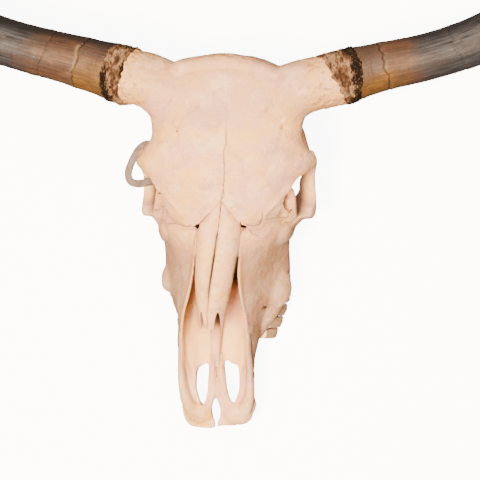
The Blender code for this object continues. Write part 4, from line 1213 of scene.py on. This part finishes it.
def hornCrust(side):
    runs = np.arange(crust["from"], crust["to"], crust["step"])
    angle = np.linspace(0.0, 2.0 * math.pi, crust["sides"], endpoint=False)
    run, turn = np.meshgrid(runs, angle, indexing="ij")
    tearing, flakes, grain, lumps, char = [
        roundWaves(turn, run, crust["seed"][int(side)], crust[name])
        for name in ("tearing", "flakes", "grain", "lumps", "char")]
    fromBone = run - lineRound("crustFrom", side, turn) + tearing
    fromHorn = lineRound("crustTo", side, turn) - run + tearing * 0.8
    inside = smoothStep(fromBone, -1.4, 1.2) * smoothStep(fromHorn, -1.4, 1.2)
    flakes = flakes * crust["layersPerMm"]
    steps = np.floor(flakes)
    layers = (steps + smoothStep(flakes - steps, 0.72, 1.0)) / crust["layersPerMm"]
    heights = np.maximum(crust["thick"] + 1.15 * layers + 0.5 * grain + lumps, crust["thinnest"])
    heights = heights * inside - crust["sink"] * (1.0 - inside)
    thing, along, round_ = tube("crust" + sideName(side).title(), side, runs, heights, crust["sides"])

    if side > 0:
        char = char + 1.9 * smoothStep(fromHorn, 22.0, 6.0) - 0.85
    else:
        char = char + 1.2 * smoothStep(fromHorn, 20.0, 4.0) * smoothStep(np.cos(turn), -0.6, 0.4) - 0.45
    # painted shade in the low places between the flakes and painted light on the raised layers
    for mask, values in {"char": smoothStep(char, 0.0, 0.45),
                         "deep": smoothStep(layers + 0.5 * grain, 0.15, -0.75),
                         "ridge": smoothStep(layers + 0.8 * grain, 0.2, 0.9)}.items():
        setMask(thing, mask, np.concatenate([values.ravel(), [0.0, 0.0]]))
    setPlace(thing, along, round_)
    return thing


strap = {
    "width": 10.5,
    "thick": 1.3,
    "steps": 260,
    "route": [(-94, 82, 104), (-107, 77, 108), (-118, 74.5, 109), (-127, 75, 108), (-133.5, 79, 106),
              (-135.5, 88, 106), (-132.5, 99, 108), (-127.5, 111, 111), (-121, 122, 113), (-112, 128, 111),
              (-100, 123, 100), (-92, 106, 92), (-89, 91, 96)],
    "flatness": [0.6, 0.9, 1, 1, 1, 1, 1, 1, 1, 0.8, 0.2, 0, 0.2],      # 1 lies flat, 0 stands on edge
}


def tieStrap():
    count = strap["steps"]
    path = spline(strap["route"], count, closed=True)
    share = len(strap["flatness"])
    spots = np.linspace(0.0, share, count, endpoint=False)
    flatness = np.interp(spots, range(share), strap["flatness"], period=share)
    ahead = np.roll(path, -1, axis=0) - np.roll(path, 1, axis=0)
    ahead /= np.linalg.norm(ahead, axis=1, keepdims=True)
    level = np.cross(ahead, (0.0, 0.0, 1.0))
    level /= np.linalg.norm(level, axis=1, keepdims=True)
    upright = np.cross(level, ahead)
    lie = level * flatness[:, None] + upright * (1.0 - flatness[:, None])
    lie /= np.linalg.norm(lie, axis=1, keepdims=True)
    out = np.cross(ahead, lie)
    wide, thin = strap["width"] / 2.0, strap["thick"] / 2.0
    lower = [(-1, 0), (-0.97, -0.7), (-0.9, -1), (-0.5, -0.9), (0, -0.85), (0.5, -0.9), (0.9, -1),
             (0.97, -0.7)]
    section = lower + [(-a, -b) for a, b in lower]
    run = np.linspace(0.0, 1.0, count, endpoint=False)
    curl = 0.5 * roundNoise(run * 2.0 * math.pi, 7.0, 160, 0.0, 26.0)
    fray = 0.35 * roundNoise(run * 2.0 * math.pi, 2.2, 161, 0.0, 26.0)
    points = np.stack([path + lie * (a * (wide + fray))[:, None] + out * (b * thin + curl * a * a)[:, None]
                       for a, b in section], axis=1)
    sides = len(section)
    here = np.arange(count * sides).reshape(count, sides)
    beside, next_ = np.roll(here, -1, axis=1), np.roll(here, -1, axis=0)
    corner = np.roll(next_, -1, axis=1)
    quads = np.stack([here, beside, corner, next_], axis=-1).reshape(-1, 4)
    triangles = np.concatenate([quads[:, [0, 1, 2]], quads[:, [0, 2, 3]]])
    thing = bendBone(meshBody("strapLoop", points.reshape(-1, 3) * mm, triangles))
    setMask(thing, "edge", np.tile([abs(a) ** 3 for a, b in section], count))
    return thing


# masks on the skin, for the materials

def setMask(thing, name, values):
    mask = thing.data.attributes.new(name, "FLOAT", "POINT")
    mask.data.foreach_set("value", np.ascontiguousarray(values, np.float32))


def setPlace(thing, along, turn):       # where each point is on the plain tube that patterns are drawn on
    radius = horn["patternRadius"]
    values = np.stack([along, radius * np.cos(turn), radius * np.sin(turn)], axis=1)
    place = thing.data.attributes.new("place", "FLOAT_VECTOR", "POINT")
    place.data.foreach_set("vector", np.ascontiguousarray(values * mm, np.float32).ravel())


def spreadOut(mesh, values, rounds):        # neighbours' average, again and again
    a, b = edgesOf(mesh)
    size = len(mesh.vertices)
    count = np.maximum(np.bincount(a, minlength=size) + np.bincount(b, minlength=size), 1)
    columns = []
    for column in np.asarray(values, float).reshape(size, -1).T:
        for _ in range(rounds):
            total = np.bincount(a, column[b], size) + np.bincount(b, column[a], size)
            column = 0.5 * column + 0.5 * total / count
        columns.append(column)
    return np.stack(columns, axis=1).reshape(np.shape(values))


def cellKeys(points, cell):     # one whole number for each small cube of space
    index = np.floor(points / cell).astype(np.int64) + 4000
    return (index[:, 0] << 40) + (index[:, 1] << 20) + index[:, 2]


def seamCells(pieces, cell=1.5):        # places that two bones share
    keys = np.concatenate([np.unique(cellKeys(pointsOf(piece.data), cell)) for piece in pieces])
    values, counts = np.unique(keys, return_counts=True)
    return values[counts > 1], cell


def foldCells(mesh, cell=2.5):      # how hollow the whole skin is, finely and broadly, cube by cube
    points, normals = pointsOf(mesh), normalsOf(mesh)
    keys, owner, counts = np.unique(cellKeys(points, cell), return_inverse=True, return_counts=True)
    folds = []
    for rounds in (8, 60):
        depth = np.einsum("ij,ij->i", spreadOut(mesh, points, rounds) - points, normals)
        folds.append(np.bincount(owner, depth) / counts)
    return keys, folds, cell


def readCells(cells, points):       # their values at other points, and nothing where there are none
    keys, folds, cell = cells
    wanted = cellKeys(points, cell)
    spot = np.minimum(np.searchsorted(keys, wanted), len(keys) - 1)
    return [np.where(keys[spot] == wanted, values[spot], 0.0) for values in folds]


# where each tone lies, in straight mm: rows of (axis, where it is 0, where it is full), or of a range with
# hard ends that starts with "only", where 999 leaves an end open; |x| counts on both sides
zones = {
    "middleSeam": [("y", 2, 16), ("z", 120, 140)],
    "cheekSeam": [("|x|", 66, 72), ("y", 22, 30), ("z", 80, 100), ("only x", -999, 0)],
    "browSeam": [("y", 2, 12), ("z", 110, 125), ("|x|", 26, 34)],
    "backSeam": [("y", 90, 120), ("z", 150, 130)],
    "vomerEdge": [("only |x|", -999, 12), ("y", -50, -80), ("only y", -172, 999), ("only z", -999, 80)],
    "nose": [("only y", -175, 34)],
    "noseWall": [("y", -220, -110)],
    "noseFloor": [("y", -162, -104), ("|x|", 5, 9)],
    "noseGlow": [("y", -95, -142), ("|x|", 5, 9)],
    "sheltered": [("only z", 45, 999), ("only y", -999, 12), ("y", -72, -92)],
    "shelteredWarm": [("y", -146, -116)],
    "shelteredDark": [("y", -130, -113), ("x", 10, 6)],
    "middleSlit": [("y", -95, -60), ("y", 14, 4), ("only z", 120, 999)],
    "sideSlit": [("y", -58, -46), ("y", -16, -26), ("only z", 104, 999)],
    "roofed": [("only z", 50, 999), ("y", -76, -50), ("only y", -999, 12)],
    "cornerHole": [("z", 144.5, 141.5), ("only z", 100, 999)],
    "cracked": [("only z", 40, 999)],
    "orbit": [("|x|", 114, 96)],
    "orbitFloor": [("z", 114, 100)],
    "under": [("z", 90, 45), ("y", -60, 60)],
    "inside": [("z", 140, 110), ("only |x|", -999, 70), ("only y", 30, 200), ("only z", 50, 999)],
    "jawTop": [("y", 16, -40), ("y", -215, -150)],
    "jawSide": [("y", 60, 20), ("z", 118, 96), ("y", -215, -150)],
}


def zone(points, name):
    share = np.ones(len(points))
    for axis, start, end in zones[name]:
        hard = axis.startswith("only ")
        axis = axis.replace("only ", "")
        values = np.abs(points[:, 0]) if axis == "|x|" else points[:, "xyz".index(axis)]
        share *= (values > start) * (values < end) if hard else smoothStep(values, start, end)
    return share


def seamAndVomerShade(points):     # how dark a seam shows in each part of the skull; along the vomer's edges the dark is painted shade
    x, y = points[:, 0], points[:, 1]
    middle = np.exp(-((x - 2.0) / 9.0) ** 2) * zone(points, "middleSeam")
    middle = middle * (0.35 + 0.65 * smoothStep(y, 170.0, 120.0))
    return np.maximum.reduce([0.95 * middle, 0.7 * zone(points, "cheekSeam"), 0.3 * zone(points, "browSeam"),
                              0.35 * zone(points, "backSeam"), 0.95 * zone(points, "vomerEdge")])


def noseMasks(points, normals):     # painted warm shade on the walls, a painted glow on the floor, and what the nasal bones' tips shelter
    x, y, z = points.T
    rimZ, floorZ = curveAt(face["rimZ"], y), curveAt(cavity["floorZ"], y)
    half = np.maximum(curveAt(face["rimHalf"], y), curveAt(cavity["half"], y))
    inNose = (np.abs(x) < half + 1.0) * (z < rimZ - 1.0) * (z > floorZ - 5.0) * zone(points, "nose")
    inward = smoothStep(-normals[:, 0] * np.sign(x) + 0.5 * normals[:, 2], -0.2, 0.3)
    high = np.clip((z - floorZ) / np.maximum(rimZ - floorZ, 5.0), 0.0, 1.0)
    sheltered = (np.abs(x + 6.0) < curveAt(nasal["outerHalf"], y) + 5.0) * zone(points, "sheltered")
    sheltered = sheltered * (z < curveAt(nasal["crestZ"], y) - 22.0)
    walls = inNose * inward * (0.4 + 0.6 * high) * zone(points, "noseWall") * (normals[:, 2] < 0.93)
    warm = np.maximum.reduce([walls, 0.6 * inNose * zone(points, "noseFloor"),
                              0.9 * sheltered * zone(points, "shelteredWarm")])
    glow = inNose * (1.0 - 0.7 * high) * zone(points, "noseGlow")
    return warm, glow, sheltered


def paintedShadeMask(points, normals, orbit, sheltered, isNasal):
    # painted shade: deep in the sockets, in cracks, round the corner holes, under the nasal bones' roof and
    # tips, and down the slits beside and between the nasals
    x, y, z = points.T
    outer = curveAt(nasal["outerHalf"], y)
    middle = np.exp(-((x - seamX(y)) / 1.5) ** 2) * zone(points, "middleSlit") * isNasal
    side = np.exp(-((np.abs(x) - outer - 0.6) / 1.6) ** 2) * zone(points, "sideSlit")
    cracks = crackShare(points, 0.5 + 0.4 * bone["voxel"]) * smoothStep(normals[:, 2], 0.2, 0.5)
    roofed = (np.abs(x) < outer - 1.5) * (z < curveAt(nasal["crestZ"], y) - 12.0) * zone(points, "roofed")
    dirt = [middle, side, 0.9 * orbit * zone(points, "orbitFloor"), 0.6 * cracks * zone(points, "cracked"),
            0.85 * roofed, 0.75 * sheltered * zone(points, "shelteredDark")]
    for outline in cornerHoles.values():
        centre = np.mean(outline, axis=0)
        close = np.exp(-(np.hypot(x - centre[0], y - centre[1]) / 5.0) ** 4)
        dirt.append(close * zone(points, "cornerHole"))
    return np.maximum.reduce(dirt)


eyeSocket = {"centre": (106.0, 68.0, 112.0), "radii": (46.0, 36.0, 32.0)}


def boneMasks(piece, shared, folds, isNasal):
    mesh = piece.data
    bentPlaces = pointsOf(mesh)
    points = straighten(bentPlaces)
    normals = normalsOf(mesh)
    x, y, z = points.T
    cells, cell = shared
    near = np.isin(cellKeys(bentPlaces, cell), cells).astype(float)
    if isNasal:
        fine = np.einsum("ij,ij->i", spreadOut(mesh, bentPlaces, 8) - bentPlaces, normals)
        broad = fine
    else:
        fine, broad = [spreadOut(mesh, values, 3) for values in readCells(folds, bentPlaces)]
    # painted shade in the hollows and painted light on broad crests, from how hollow the skin is
    hollow = smoothStep(fine, 0.05, 0.6) + 0.6 * smoothStep(broad, 0.4, 3.5)
    warm, glow, sheltered = noseMasks(points, normals)
    within = sum(((values - middle) / radius) ** 2 for values, middle, radius
                 in zip((np.abs(x), y, z), eyeSocket["centre"], eyeSocket["radii"]))
    orbit = smoothStep(within, 1.3, 0.7) * zone(points, "orbit")
    # painted warm shade also in the orbits, low under the skull and under the forehead
    warm = warm + 0.6 * orbit + 0.5 * zone(points, "under") + 0.5 * zone(points, "inside")
    rimHalf, half = curveAt(face["rimHalf"], y), curveAt(cavity["half"], y)
    # the face's flanks darker and greyer brown: partly the bone's own tone, partly painted shade where they
    # turn away
    jaw = np.maximum(zone(points, "jawTop") * (np.abs(x) > rimHalf + 2.0),
                     zone(points, "jawSide") * (np.abs(x) > np.maximum(rimHalf, half) + 2.0))
    masks = {
        "seam": spreadOut(mesh, near * seamAndVomerShade(points), 2),
        "dirt": paintedShadeMask(points, normals, orbit, sheltered, isNasal),
        "aged": smoothStep(y + 12.0 * softNoise(points, 40.0, 35), 120.0, 190.0) * (z > 100.0),
        "hollow": spreadOut(mesh, hollow, 2),
        "crest": smoothStep(-broad, 0.4, 3.0),
        "warm": spreadOut(mesh, np.clip(warm, 0.0, 1.0), 4),
        "glow": spreadOut(mesh, glow, 4),
        "jaw": spreadOut(mesh, np.clip(jaw, 0.0, 1.0), 10),
        "fringe": smoothStep(np.abs(x) + 9.0 * softNoise(points, 9.0, 33), 94.0, 116.0) * (y > 130.0),
    }
    for name, values in masks.items():
        setMask(piece, name, values)


# materials

def linear(colour):     # a #rrggbb colour as the linear colour that a node takes
    parts = [int(colour[k:k + 2], 16) / 255.0 for k in (1, 3, 5)]
    return (*[c / 12.92 if c <= 0.04045 else ((c + 0.055) / 1.055) ** 2.4 for c in parts], 1.0)


def addNode(tree, kind, inputs=None, output=0, **settings):
    made = tree.nodes.new(kind)
    for name, value in settings.items():
        setattr(made, name, value)
    for name, value in (inputs or {}).items():
        if isinstance(value, bpy.types.NodeSocket):
            tree.links.new(value, made.inputs[name])
        else:
            made.inputs[name].default_value = value
    return made.outputs[output]


# A look is a table. Its layers lie over each other in their order. "size" is the width of one lump of a
# pattern in mm and "stretch" draws it out, "mask" keeps the layer to where that mask is, "range" is where
# it sets in and is full, and "most" is how much of it there is. A layer is a colour, or a relief so many
# mm high, or a gloss that is a roughness for its low and high places.

def paintMaterial(look):
    made = bpy.data.materials.new(look["name"])
    made.use_nodes = True
    tree = made.node_tree
    surface = tree.nodes["Principled BSDF"]
    if "place" in look:
        place = addNode(tree, "ShaderNodeAttribute", output="Vector", attribute_name=look["place"])
    else:
        place = addNode(tree, "ShaderNodeTexCoord", output="Object")
    colour = linear(look["colour"])
    normal = None
    for layer in look["layers"]:
        share = None
        most = layer.get("most", 1.0)
        if "size" in layer:
            spot = addNode(tree, "ShaderNodeMapping",
                           {"Vector": place, "Scale": layer.get("stretch", (1.0, 1.0, 1.0))})
            share = addNode(tree, "ShaderNodeTexNoise", {
                "Vector": spot, "Scale": 1.0 / (layer["size"] * mm), "Detail": layer.get("detail", 3.0),
                "Roughness": layer.get("rough", 0.55)}, "Fac")
            low, high = layer.get("range", (0.3, 0.7))
            share = addNode(tree, "ShaderNodeMapRange", {
                "Value": share, "From Min": low, "From Max": high, "To Max": most},
                interpolation_type="SMOOTHSTEP")
        if "mask" in layer:
            amount = addNode(tree, "ShaderNodeAttribute", output="Fac", attribute_name=layer["mask"])
            low, high = layer.get("maskRange", (0.0, 1.0))
            amount = addNode(tree, "ShaderNodeMapRange", {
                "Value": amount, "From Min": low, "From Max": high, "To Max": 1.0 if share else most})
            share = addNode(tree, "ShaderNodeMath", {0: share, 1: amount}, operation="MULTIPLY") \
                if share else amount
        if "colour" in layer:
            colour = addNode(tree, "ShaderNodeMix", {0: share, 6: colour, 7: linear(layer["colour"])}, 2,
                             data_type="RGBA", blend_type=layer.get("mode", "MIX"))
        elif "relief" in layer:
            raised = {"Height": share, "Distance": layer["relief"] * mm}
            if normal:
                raised["Normal"] = normal
            normal = addNode(tree, "ShaderNodeBump", raised)
            tree.links.new(normal, surface.inputs["Normal"])
        else:
            smooth, dull = layer["gloss"]
            dullness = addNode(tree, "ShaderNodeMapRange", {"Value": share, "To Min": smooth, "To Max": dull})
            tree.links.new(dullness, surface.inputs["Roughness"])
    if look["layers"]:
        tree.links.new(colour, surface.inputs["Base Color"])
    else:
        surface.inputs["Base Color"].default_value = colour
    for name, value in look.get("sockets", {}).items():
        surface.inputs[name].default_value = value
    return made


# cleaned bone, dry and old: pale cream, faintly mottled, with painted shade in brown in the hollows, cracks
# and deep places, painted light on its broad crests and a painted glow in the nose
boneLook = {
    "name": "cleaned bone", "colour": "#f1bd89",
    "layers": [
        {"colour": "#e6b49c", "size": 58.0, "range": (0.42, 0.6)},
        {"colour": "#f3c069", "size": 38.0, "range": (0.46, 0.66), "most": 0.9},
        {"colour": "#bd937a", "mask": "aged", "most": 0.5},
        {"colour": "#c39c82", "size": 22.0, "detail": 5.0, "range": (0.5, 0.7), "most": 0.7},
        {"colour": "#ffe3c2", "size": 34.0, "detail": 4.0, "range": (0.5, 0.7), "most": 0.45},
        {"colour": "#b98d6c", "size": 6.0, "detail": 5.0, "range": (0.55, 0.76), "most": 0.6},
        # the face's flanks: partly their own darker tone, partly painted shade
        {"colour": "#a07a5d", "mask": "jaw", "most": 0.85},
        {"colour": "#ba9d85", "mask": "jaw", "size": 22.0, "detail": 4.0, "range": (0.4, 0.62),
         "most": 0.75},
        {"colour": "#e2b068", "mask": "fringe", "size": 9.0, "detail": 4.0, "range": (0.36, 0.56),
         "most": 0.9},
        {"colour": "#a8794a", "mask": "fringe", "size": 5.5, "detail": 5.0, "range": (0.5, 0.64),
         "most": 0.75},
        # painted light on the broad crests, then painted shade multiplied into the hollows
        {"colour": "#f9d6b0", "mask": "crest", "most": 0.6},
        {"colour": "#bb8558", "mask": "hollow", "maskRange": (0.1, 1.3), "most": 0.8, "mode": "MULTIPLY"},
        # painted warm shade in the nose, the orbits and under the skull, then a painted glow on the nose
        # floor
        {"colour": "#bd7f42", "mask": "warm", "most": 0.85},
        {"colour": "#fcd08c", "mask": "glow", "most": 0.9},
        # dark brown sutures, and painted shade along the vomer's edges
        {"colour": "#7a4a28", "mask": "seam", "maskRange": (0.15, 0.9), "most": 0.85},
        # painted shade, dark brown, in the sockets, cracks, slits and corner holes and under the nasal bones
        {"colour": "#3a2010", "mask": "dirt", "maskRange": (0.1, 0.8), "most": 0.9},
        {"relief": 0.7, "size": 12.0},
        {"relief": 0.22, "size": 2.2, "detail": 4.0},
        {"relief": 0.06, "size": 0.9},      # pores of 0.1 mm would not show, so they are drawn coarser
        {"gloss": (0.44, 0.6), "size": 20.0},
    ],
    "sockets": {"IOR": 1.5, "Subsurface Weight": 0.12, "Subsurface Radius": (1.0, 0.6, 0.4),
                "Subsurface Scale": 2.0 * mm},
}
# the same bone where it is thin, a little rosier because light passes through it
snoutLook = {**boneLook, "name": "thin snout bone", "colour": "#f3bf92"}

# horn sheath: satin keratin, streaked along its length, grey outside and amber where it was newest
hornLook = {
    "name": "keratin sheath", "place": "place", "colour": "#26282d",
    "layers": [
        {"colour": "#3d4046", "size": 4.0, "stretch": (0.1, 1, 1), "detail": 6.0, "range": (0.38, 0.68)},
        {"colour": "#121317", "size": 6.0, "stretch": (0.14, 1, 1), "detail": 6.0, "range": (0.52, 0.7),
         "most": 0.8},
        {"colour": "#4f4c49", "size": 9.0, "stretch": (0.3, 1, 1), "detail": 5.0, "range": (0.56, 0.74),
         "most": 0.7},
        {"colour": "#3b3029", "size": 24.0, "stretch": (0.4, 1, 1), "range": (0.45, 0.72), "most": 0.4},
        {"colour": "#4b3627", "mask": "brown", "most": 0.9},
        {"colour": "#6e5039", "mask": "brown", "size": 12.0, "stretch": (0.3, 1, 1), "range": (0.42, 0.7),
         "most": 0.7},
        {"colour": "#2e2018", "mask": "brown", "size": 2.6, "stretch": (0.05, 1, 1), "detail": 5.0,
         "range": (0.45, 0.7), "most": 0.7},
        {"colour": "#41342d", "mask": "plum", "most": 0.8},
        {"colour": "#5e4b3d", "mask": "plum", "size": 2.6, "stretch": (0.05, 1, 1), "detail": 5.0,
         "range": (0.45, 0.7), "most": 0.6},
        {"colour": "#584020", "mask": "amber"},
        {"colour": "#765528", "mask": "amber", "size": 7.0, "stretch": (0.4, 1, 1), "range": (0.4, 0.66),
         "most": 0.7},
        {"colour": "#362210", "mask": "amber", "size": 2.2, "stretch": (0.08, 1, 1), "detail": 5.0,
         "range": (0.5, 0.74), "most": 0.6},
        {"colour": "#1a191b", "mask": "dusk", "most": 0.75},
        {"colour": "#101114", "mask": "darkHorn", "most": 0.9},
        # a painted highlight on the crack's lifted lip, then painted shade in the crack
        {"colour": "#80694d", "mask": "pale", "most": 0.75},
        {"colour": "#160c07", "mask": "crack", "most": 0.85},
        {"relief": 0.3, "size": 2.6, "stretch": (0.04, 1, 1), "detail": 5.0},
        {"relief": 0.12, "size": 1.1, "stretch": (0.6, 1, 1)},
        {"gloss": (0.42, 0.62), "size": 24.0},
    ],
    "sockets": {"IOR": 1.55, "Specular IOR Level": 0.3},
}

# dried hide and bone scale at the horn's root: dull, flaking, nearly black where it is thick; painted shade
# between the flakes and painted light on their raised layers
crustLook = {
    "name": "dried crust", "place": "place", "colour": "#4d3424",
    "layers": [
        {"colour": "#7d6248", "size": 2.8, "stretch": (1, 0.4, 0.4), "detail": 5.0, "range": (0.4, 0.64)},
        {"colour": "#9d8466", "size": 8.0, "stretch": (1, 0.5, 0.5), "detail": 5.0, "range": (0.5, 0.66)},
        {"colour": "#a98f70", "mask": "ridge", "most": 0.6},
        {"colour": "#2a170c", "mask": "deep", "most": 0.75},
        {"colour": "#0d0704", "mask": "char", "most": 0.95},
        {"colour": "#7d6248", "size": 1.5, "stretch": (1, 0.5, 0.5), "detail": 3.0, "range": (0.56, 0.7),
         "most": 0.6},
        {"relief": 0.7, "size": 2.6, "stretch": (1, 0.4, 0.4), "detail": 5.0},
        {"relief": 0.3, "size": 0.9},
    ],
    "sockets": {"Roughness": 0.9, "Specular IOR Level": 0.15},
}

# tooth enamel: harder and glossier than bone, stained brown in its folds
enamelLook = {
    "name": "tooth enamel", "colour": "#f0c999",
    "layers": [
        {"colour": "#c2966c", "size": 3.0, "stretch": (1, 1, 0.12), "detail": 4.0, "range": (0.45, 0.75)},
        {"colour": "#8a5f38", "mask": "worn", "most": 0.8},
        {"relief": 0.2, "size": 2.0, "stretch": (1, 1, 0.12)},
    ],
    "sockets": {"Roughness": 0.3, "IOR": 1.62},
}

# worn flat band: dull, greyish, dirty along its edges
bandLook = {
    "name": "worn band", "colour": "#7c726a",
    "layers": [
        {"colour": "#64554b", "size": 7.0, "detail": 4.0, "range": (0.4, 0.7)},
        {"colour": "#423931", "mask": "edge", "most": 0.7},
        {"relief": 0.15, "size": 0.8},      # a weave of 0.3 mm would be lost, so it is drawn coarser
    ],
    "sockets": {"Roughness": 0.65},
}


# the skull is made, then moved over the part's own origin

origin = (0.21, -76.182, 0.0)
grown = grownBone()
folds = foldCells(grown.data)
partBone(grown)
print("bone made")

tones = {"cranium": paintMaterial(boneLook), "snout": paintMaterial(snoutLook)}
boneKinds = {stem: ("snout", "pale_bone") for stem in ("premaxilla", "nasal", "vomer")}
pieces = []


def keep(thing, name, material, slot, *nodes):
    thing.name = name
    thing.data.name = name
    thing.data.materials.clear()
    thing.data.materials.append(material)
    thing.data.transform(Matrix.Translation(Vector(origin) * mm))
    thing.data.shade_smooth()
    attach(thing, "root")
    if nodes:
        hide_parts(*nodes)
    pieces.append(thing)


bones = []
cadNodes = frame["nodes"]
for thing in list(bpy.data.objects):
    node = thing.name.split(".")[0]
    if node in cadNodes and thing is not cadNodes[node]:
        bones.append((thing, node))
for side in (1.0, -1.0):
    name = sideName(side)
    nasalPiece = cut(nasalBone(side), nasalNotch(side))
    cut(nasalPiece, bendBone(prism("cornerHole", cornerHoles[side], 120.0, 190.0)))
    bones.append((nasalPiece, "nasal_" + name))
bones.append((vomer(), "vomer"))
shared = seamCells([thing for thing, node in bones])
for thing, node in bones:
    for side in (1.0, -1.0):
        if node == "maxilla_" + sideName(side):
            cut(thing, toothRow(side, 0.15))
    boneMasks(thing, shared, folds, node.startswith("nasal"))
    stem, *sides = node.split("_")
    tone, slot = boneKinds.get(stem, ("cranium", "bone"))
    thing.data.set_sharp_from_angle(angle=math.radians(52))
    keep(thing, stem + "Bone" + "".join(word.title() for word in sides), tones[tone], slot, node)
print("bones dressed")

keratin, scale, enamel, band = [paintMaterial(look) for look in (hornLook, crustLook, enamelLook, bandLook)]
for side in (1.0, -1.0):
    name = sideName(side)
    keep(hornSheath(side), "sheath" + name.title(), keratin, "horn", "horn_" + name)
    keep(hornCrust(side), "crust" + name.title(), scale, "crust", "horn_collar_" + name)
    row = toothRow(side)
    setMask(row, "worn", smoothStep(pointsOf(row.data)[:, 2], 0.9, 0.2))
    keep(row, "teeth" + name.title(), enamel, "pale_bone")
    row.data.set_sharp_from_angle(angle=math.radians(40))
keep(tieStrap(), "strapLoop", band, "band", "tie_band")
print("horns, teeth and strap made")


# floor, light and camera

stage = {"floor": "#ffffff", "floorGlow": 9.0, "half": 6.0, "world": 0.26, "ambient": "#ffeadb"}
lamps = {       # place and width in metres, strength in watts
    "key": {"place": (-0.45, -0.55, 2.7), "size": 0.9, "power": 285.0, "colour": "#ffdfc0"},
    "fill": {"place": (0.8, 0.7, 2.6), "size": 1.6, "power": 70.0, "colour": "#ffe6cc"},
}


def buildStage():
    shape = bmesh.new()
    for x, y in ((-1, -1), (1, -1), (1, 1), (-1, 1)):
        shape.verts.new((x * stage["half"], y * stage["half"], 0.0))
    shape.faces.new(shape.verts)
    ground = addBody("studioFloor", shape)
    # a lit white sheet: the camera sees its glow, and the skull isn't lit from below by it
    white = paintMaterial({"name": "lit white paper", "colour": stage["floor"], "layers": [], "sockets": {
        "Roughness": 0.9, "Emission Color": linear("#ffffff"), "Emission Strength": stage["floorGlow"]}})
    ground.data.materials.append(white)
    ground.visible_diffuse = False
    ground.visible_glossy = False
    world = bpy.data.worlds.new("soft studio")
    world.use_nodes = True
    world.node_tree.nodes["Background"].inputs["Color"].default_value = linear(stage["ambient"])
    world.node_tree.nodes["Background"].inputs["Strength"].default_value = stage["world"]
    bpy.context.scene.world = world
    for name, lamp in lamps.items():
        light = bpy.data.lights.new(name, "AREA")
        light.shape = "DISK"
        light.size = lamp["size"]
        light.energy = lamp["power"]
        light.color = linear(lamp["colour"])[:3]
        holder = bpy.data.objects.new(name, light)
        holder.location = lamp["place"]
        holder.rotation_euler = Vector(lamp["place"]).to_track_quat("Z", "Y").to_euler()
        bpy.context.scene.collection.objects.link(holder)


shot = {        # angles in degrees, the target and distance in mm of the skull's own frame
    "yaw": 7.5, "roll": 1.0, "target": (16.0, 0.0, 120.0), "distance": 1786.0,
    "lens": 100.0, "sensor": 36.0, "farEdge": 20.0,
}


def buildCamera():
    yaw, roll = math.radians(shot["yaw"]), math.radians(shot["roll"])
    back = Vector((math.sin(yaw), 0.0, math.cos(yaw)))
    right = Vector((math.cos(yaw), 0.0, -math.sin(yaw)))
    up = Vector((0.0, 1.0, 0.0))
    right, up = right * math.cos(roll) + up * math.sin(roll), up * math.cos(roll) - right * math.sin(roll)
    lens = bpy.data.cameras.new("camera")
    lens.lens = shot["lens"]
    lens.sensor_width = shot["sensor"]
    lens.clip_end = shot["farEdge"]
    camera = bpy.data.objects.new("camera", lens)
    place = (Vector(shot["target"]) + Vector(origin) + back * shot["distance"]) * mm
    turn = Matrix((right, up, back)).transposed().to_4x4()
    camera.matrix_world = Matrix.Translation(place) @ turn
    bpy.context.scene.collection.objects.link(camera)
    bpy.context.scene.camera = camera


buildStage()
buildCamera()
print("stage ready,", sum(len(trianglesOf(piece.data)) for piece in pieces), "triangles")
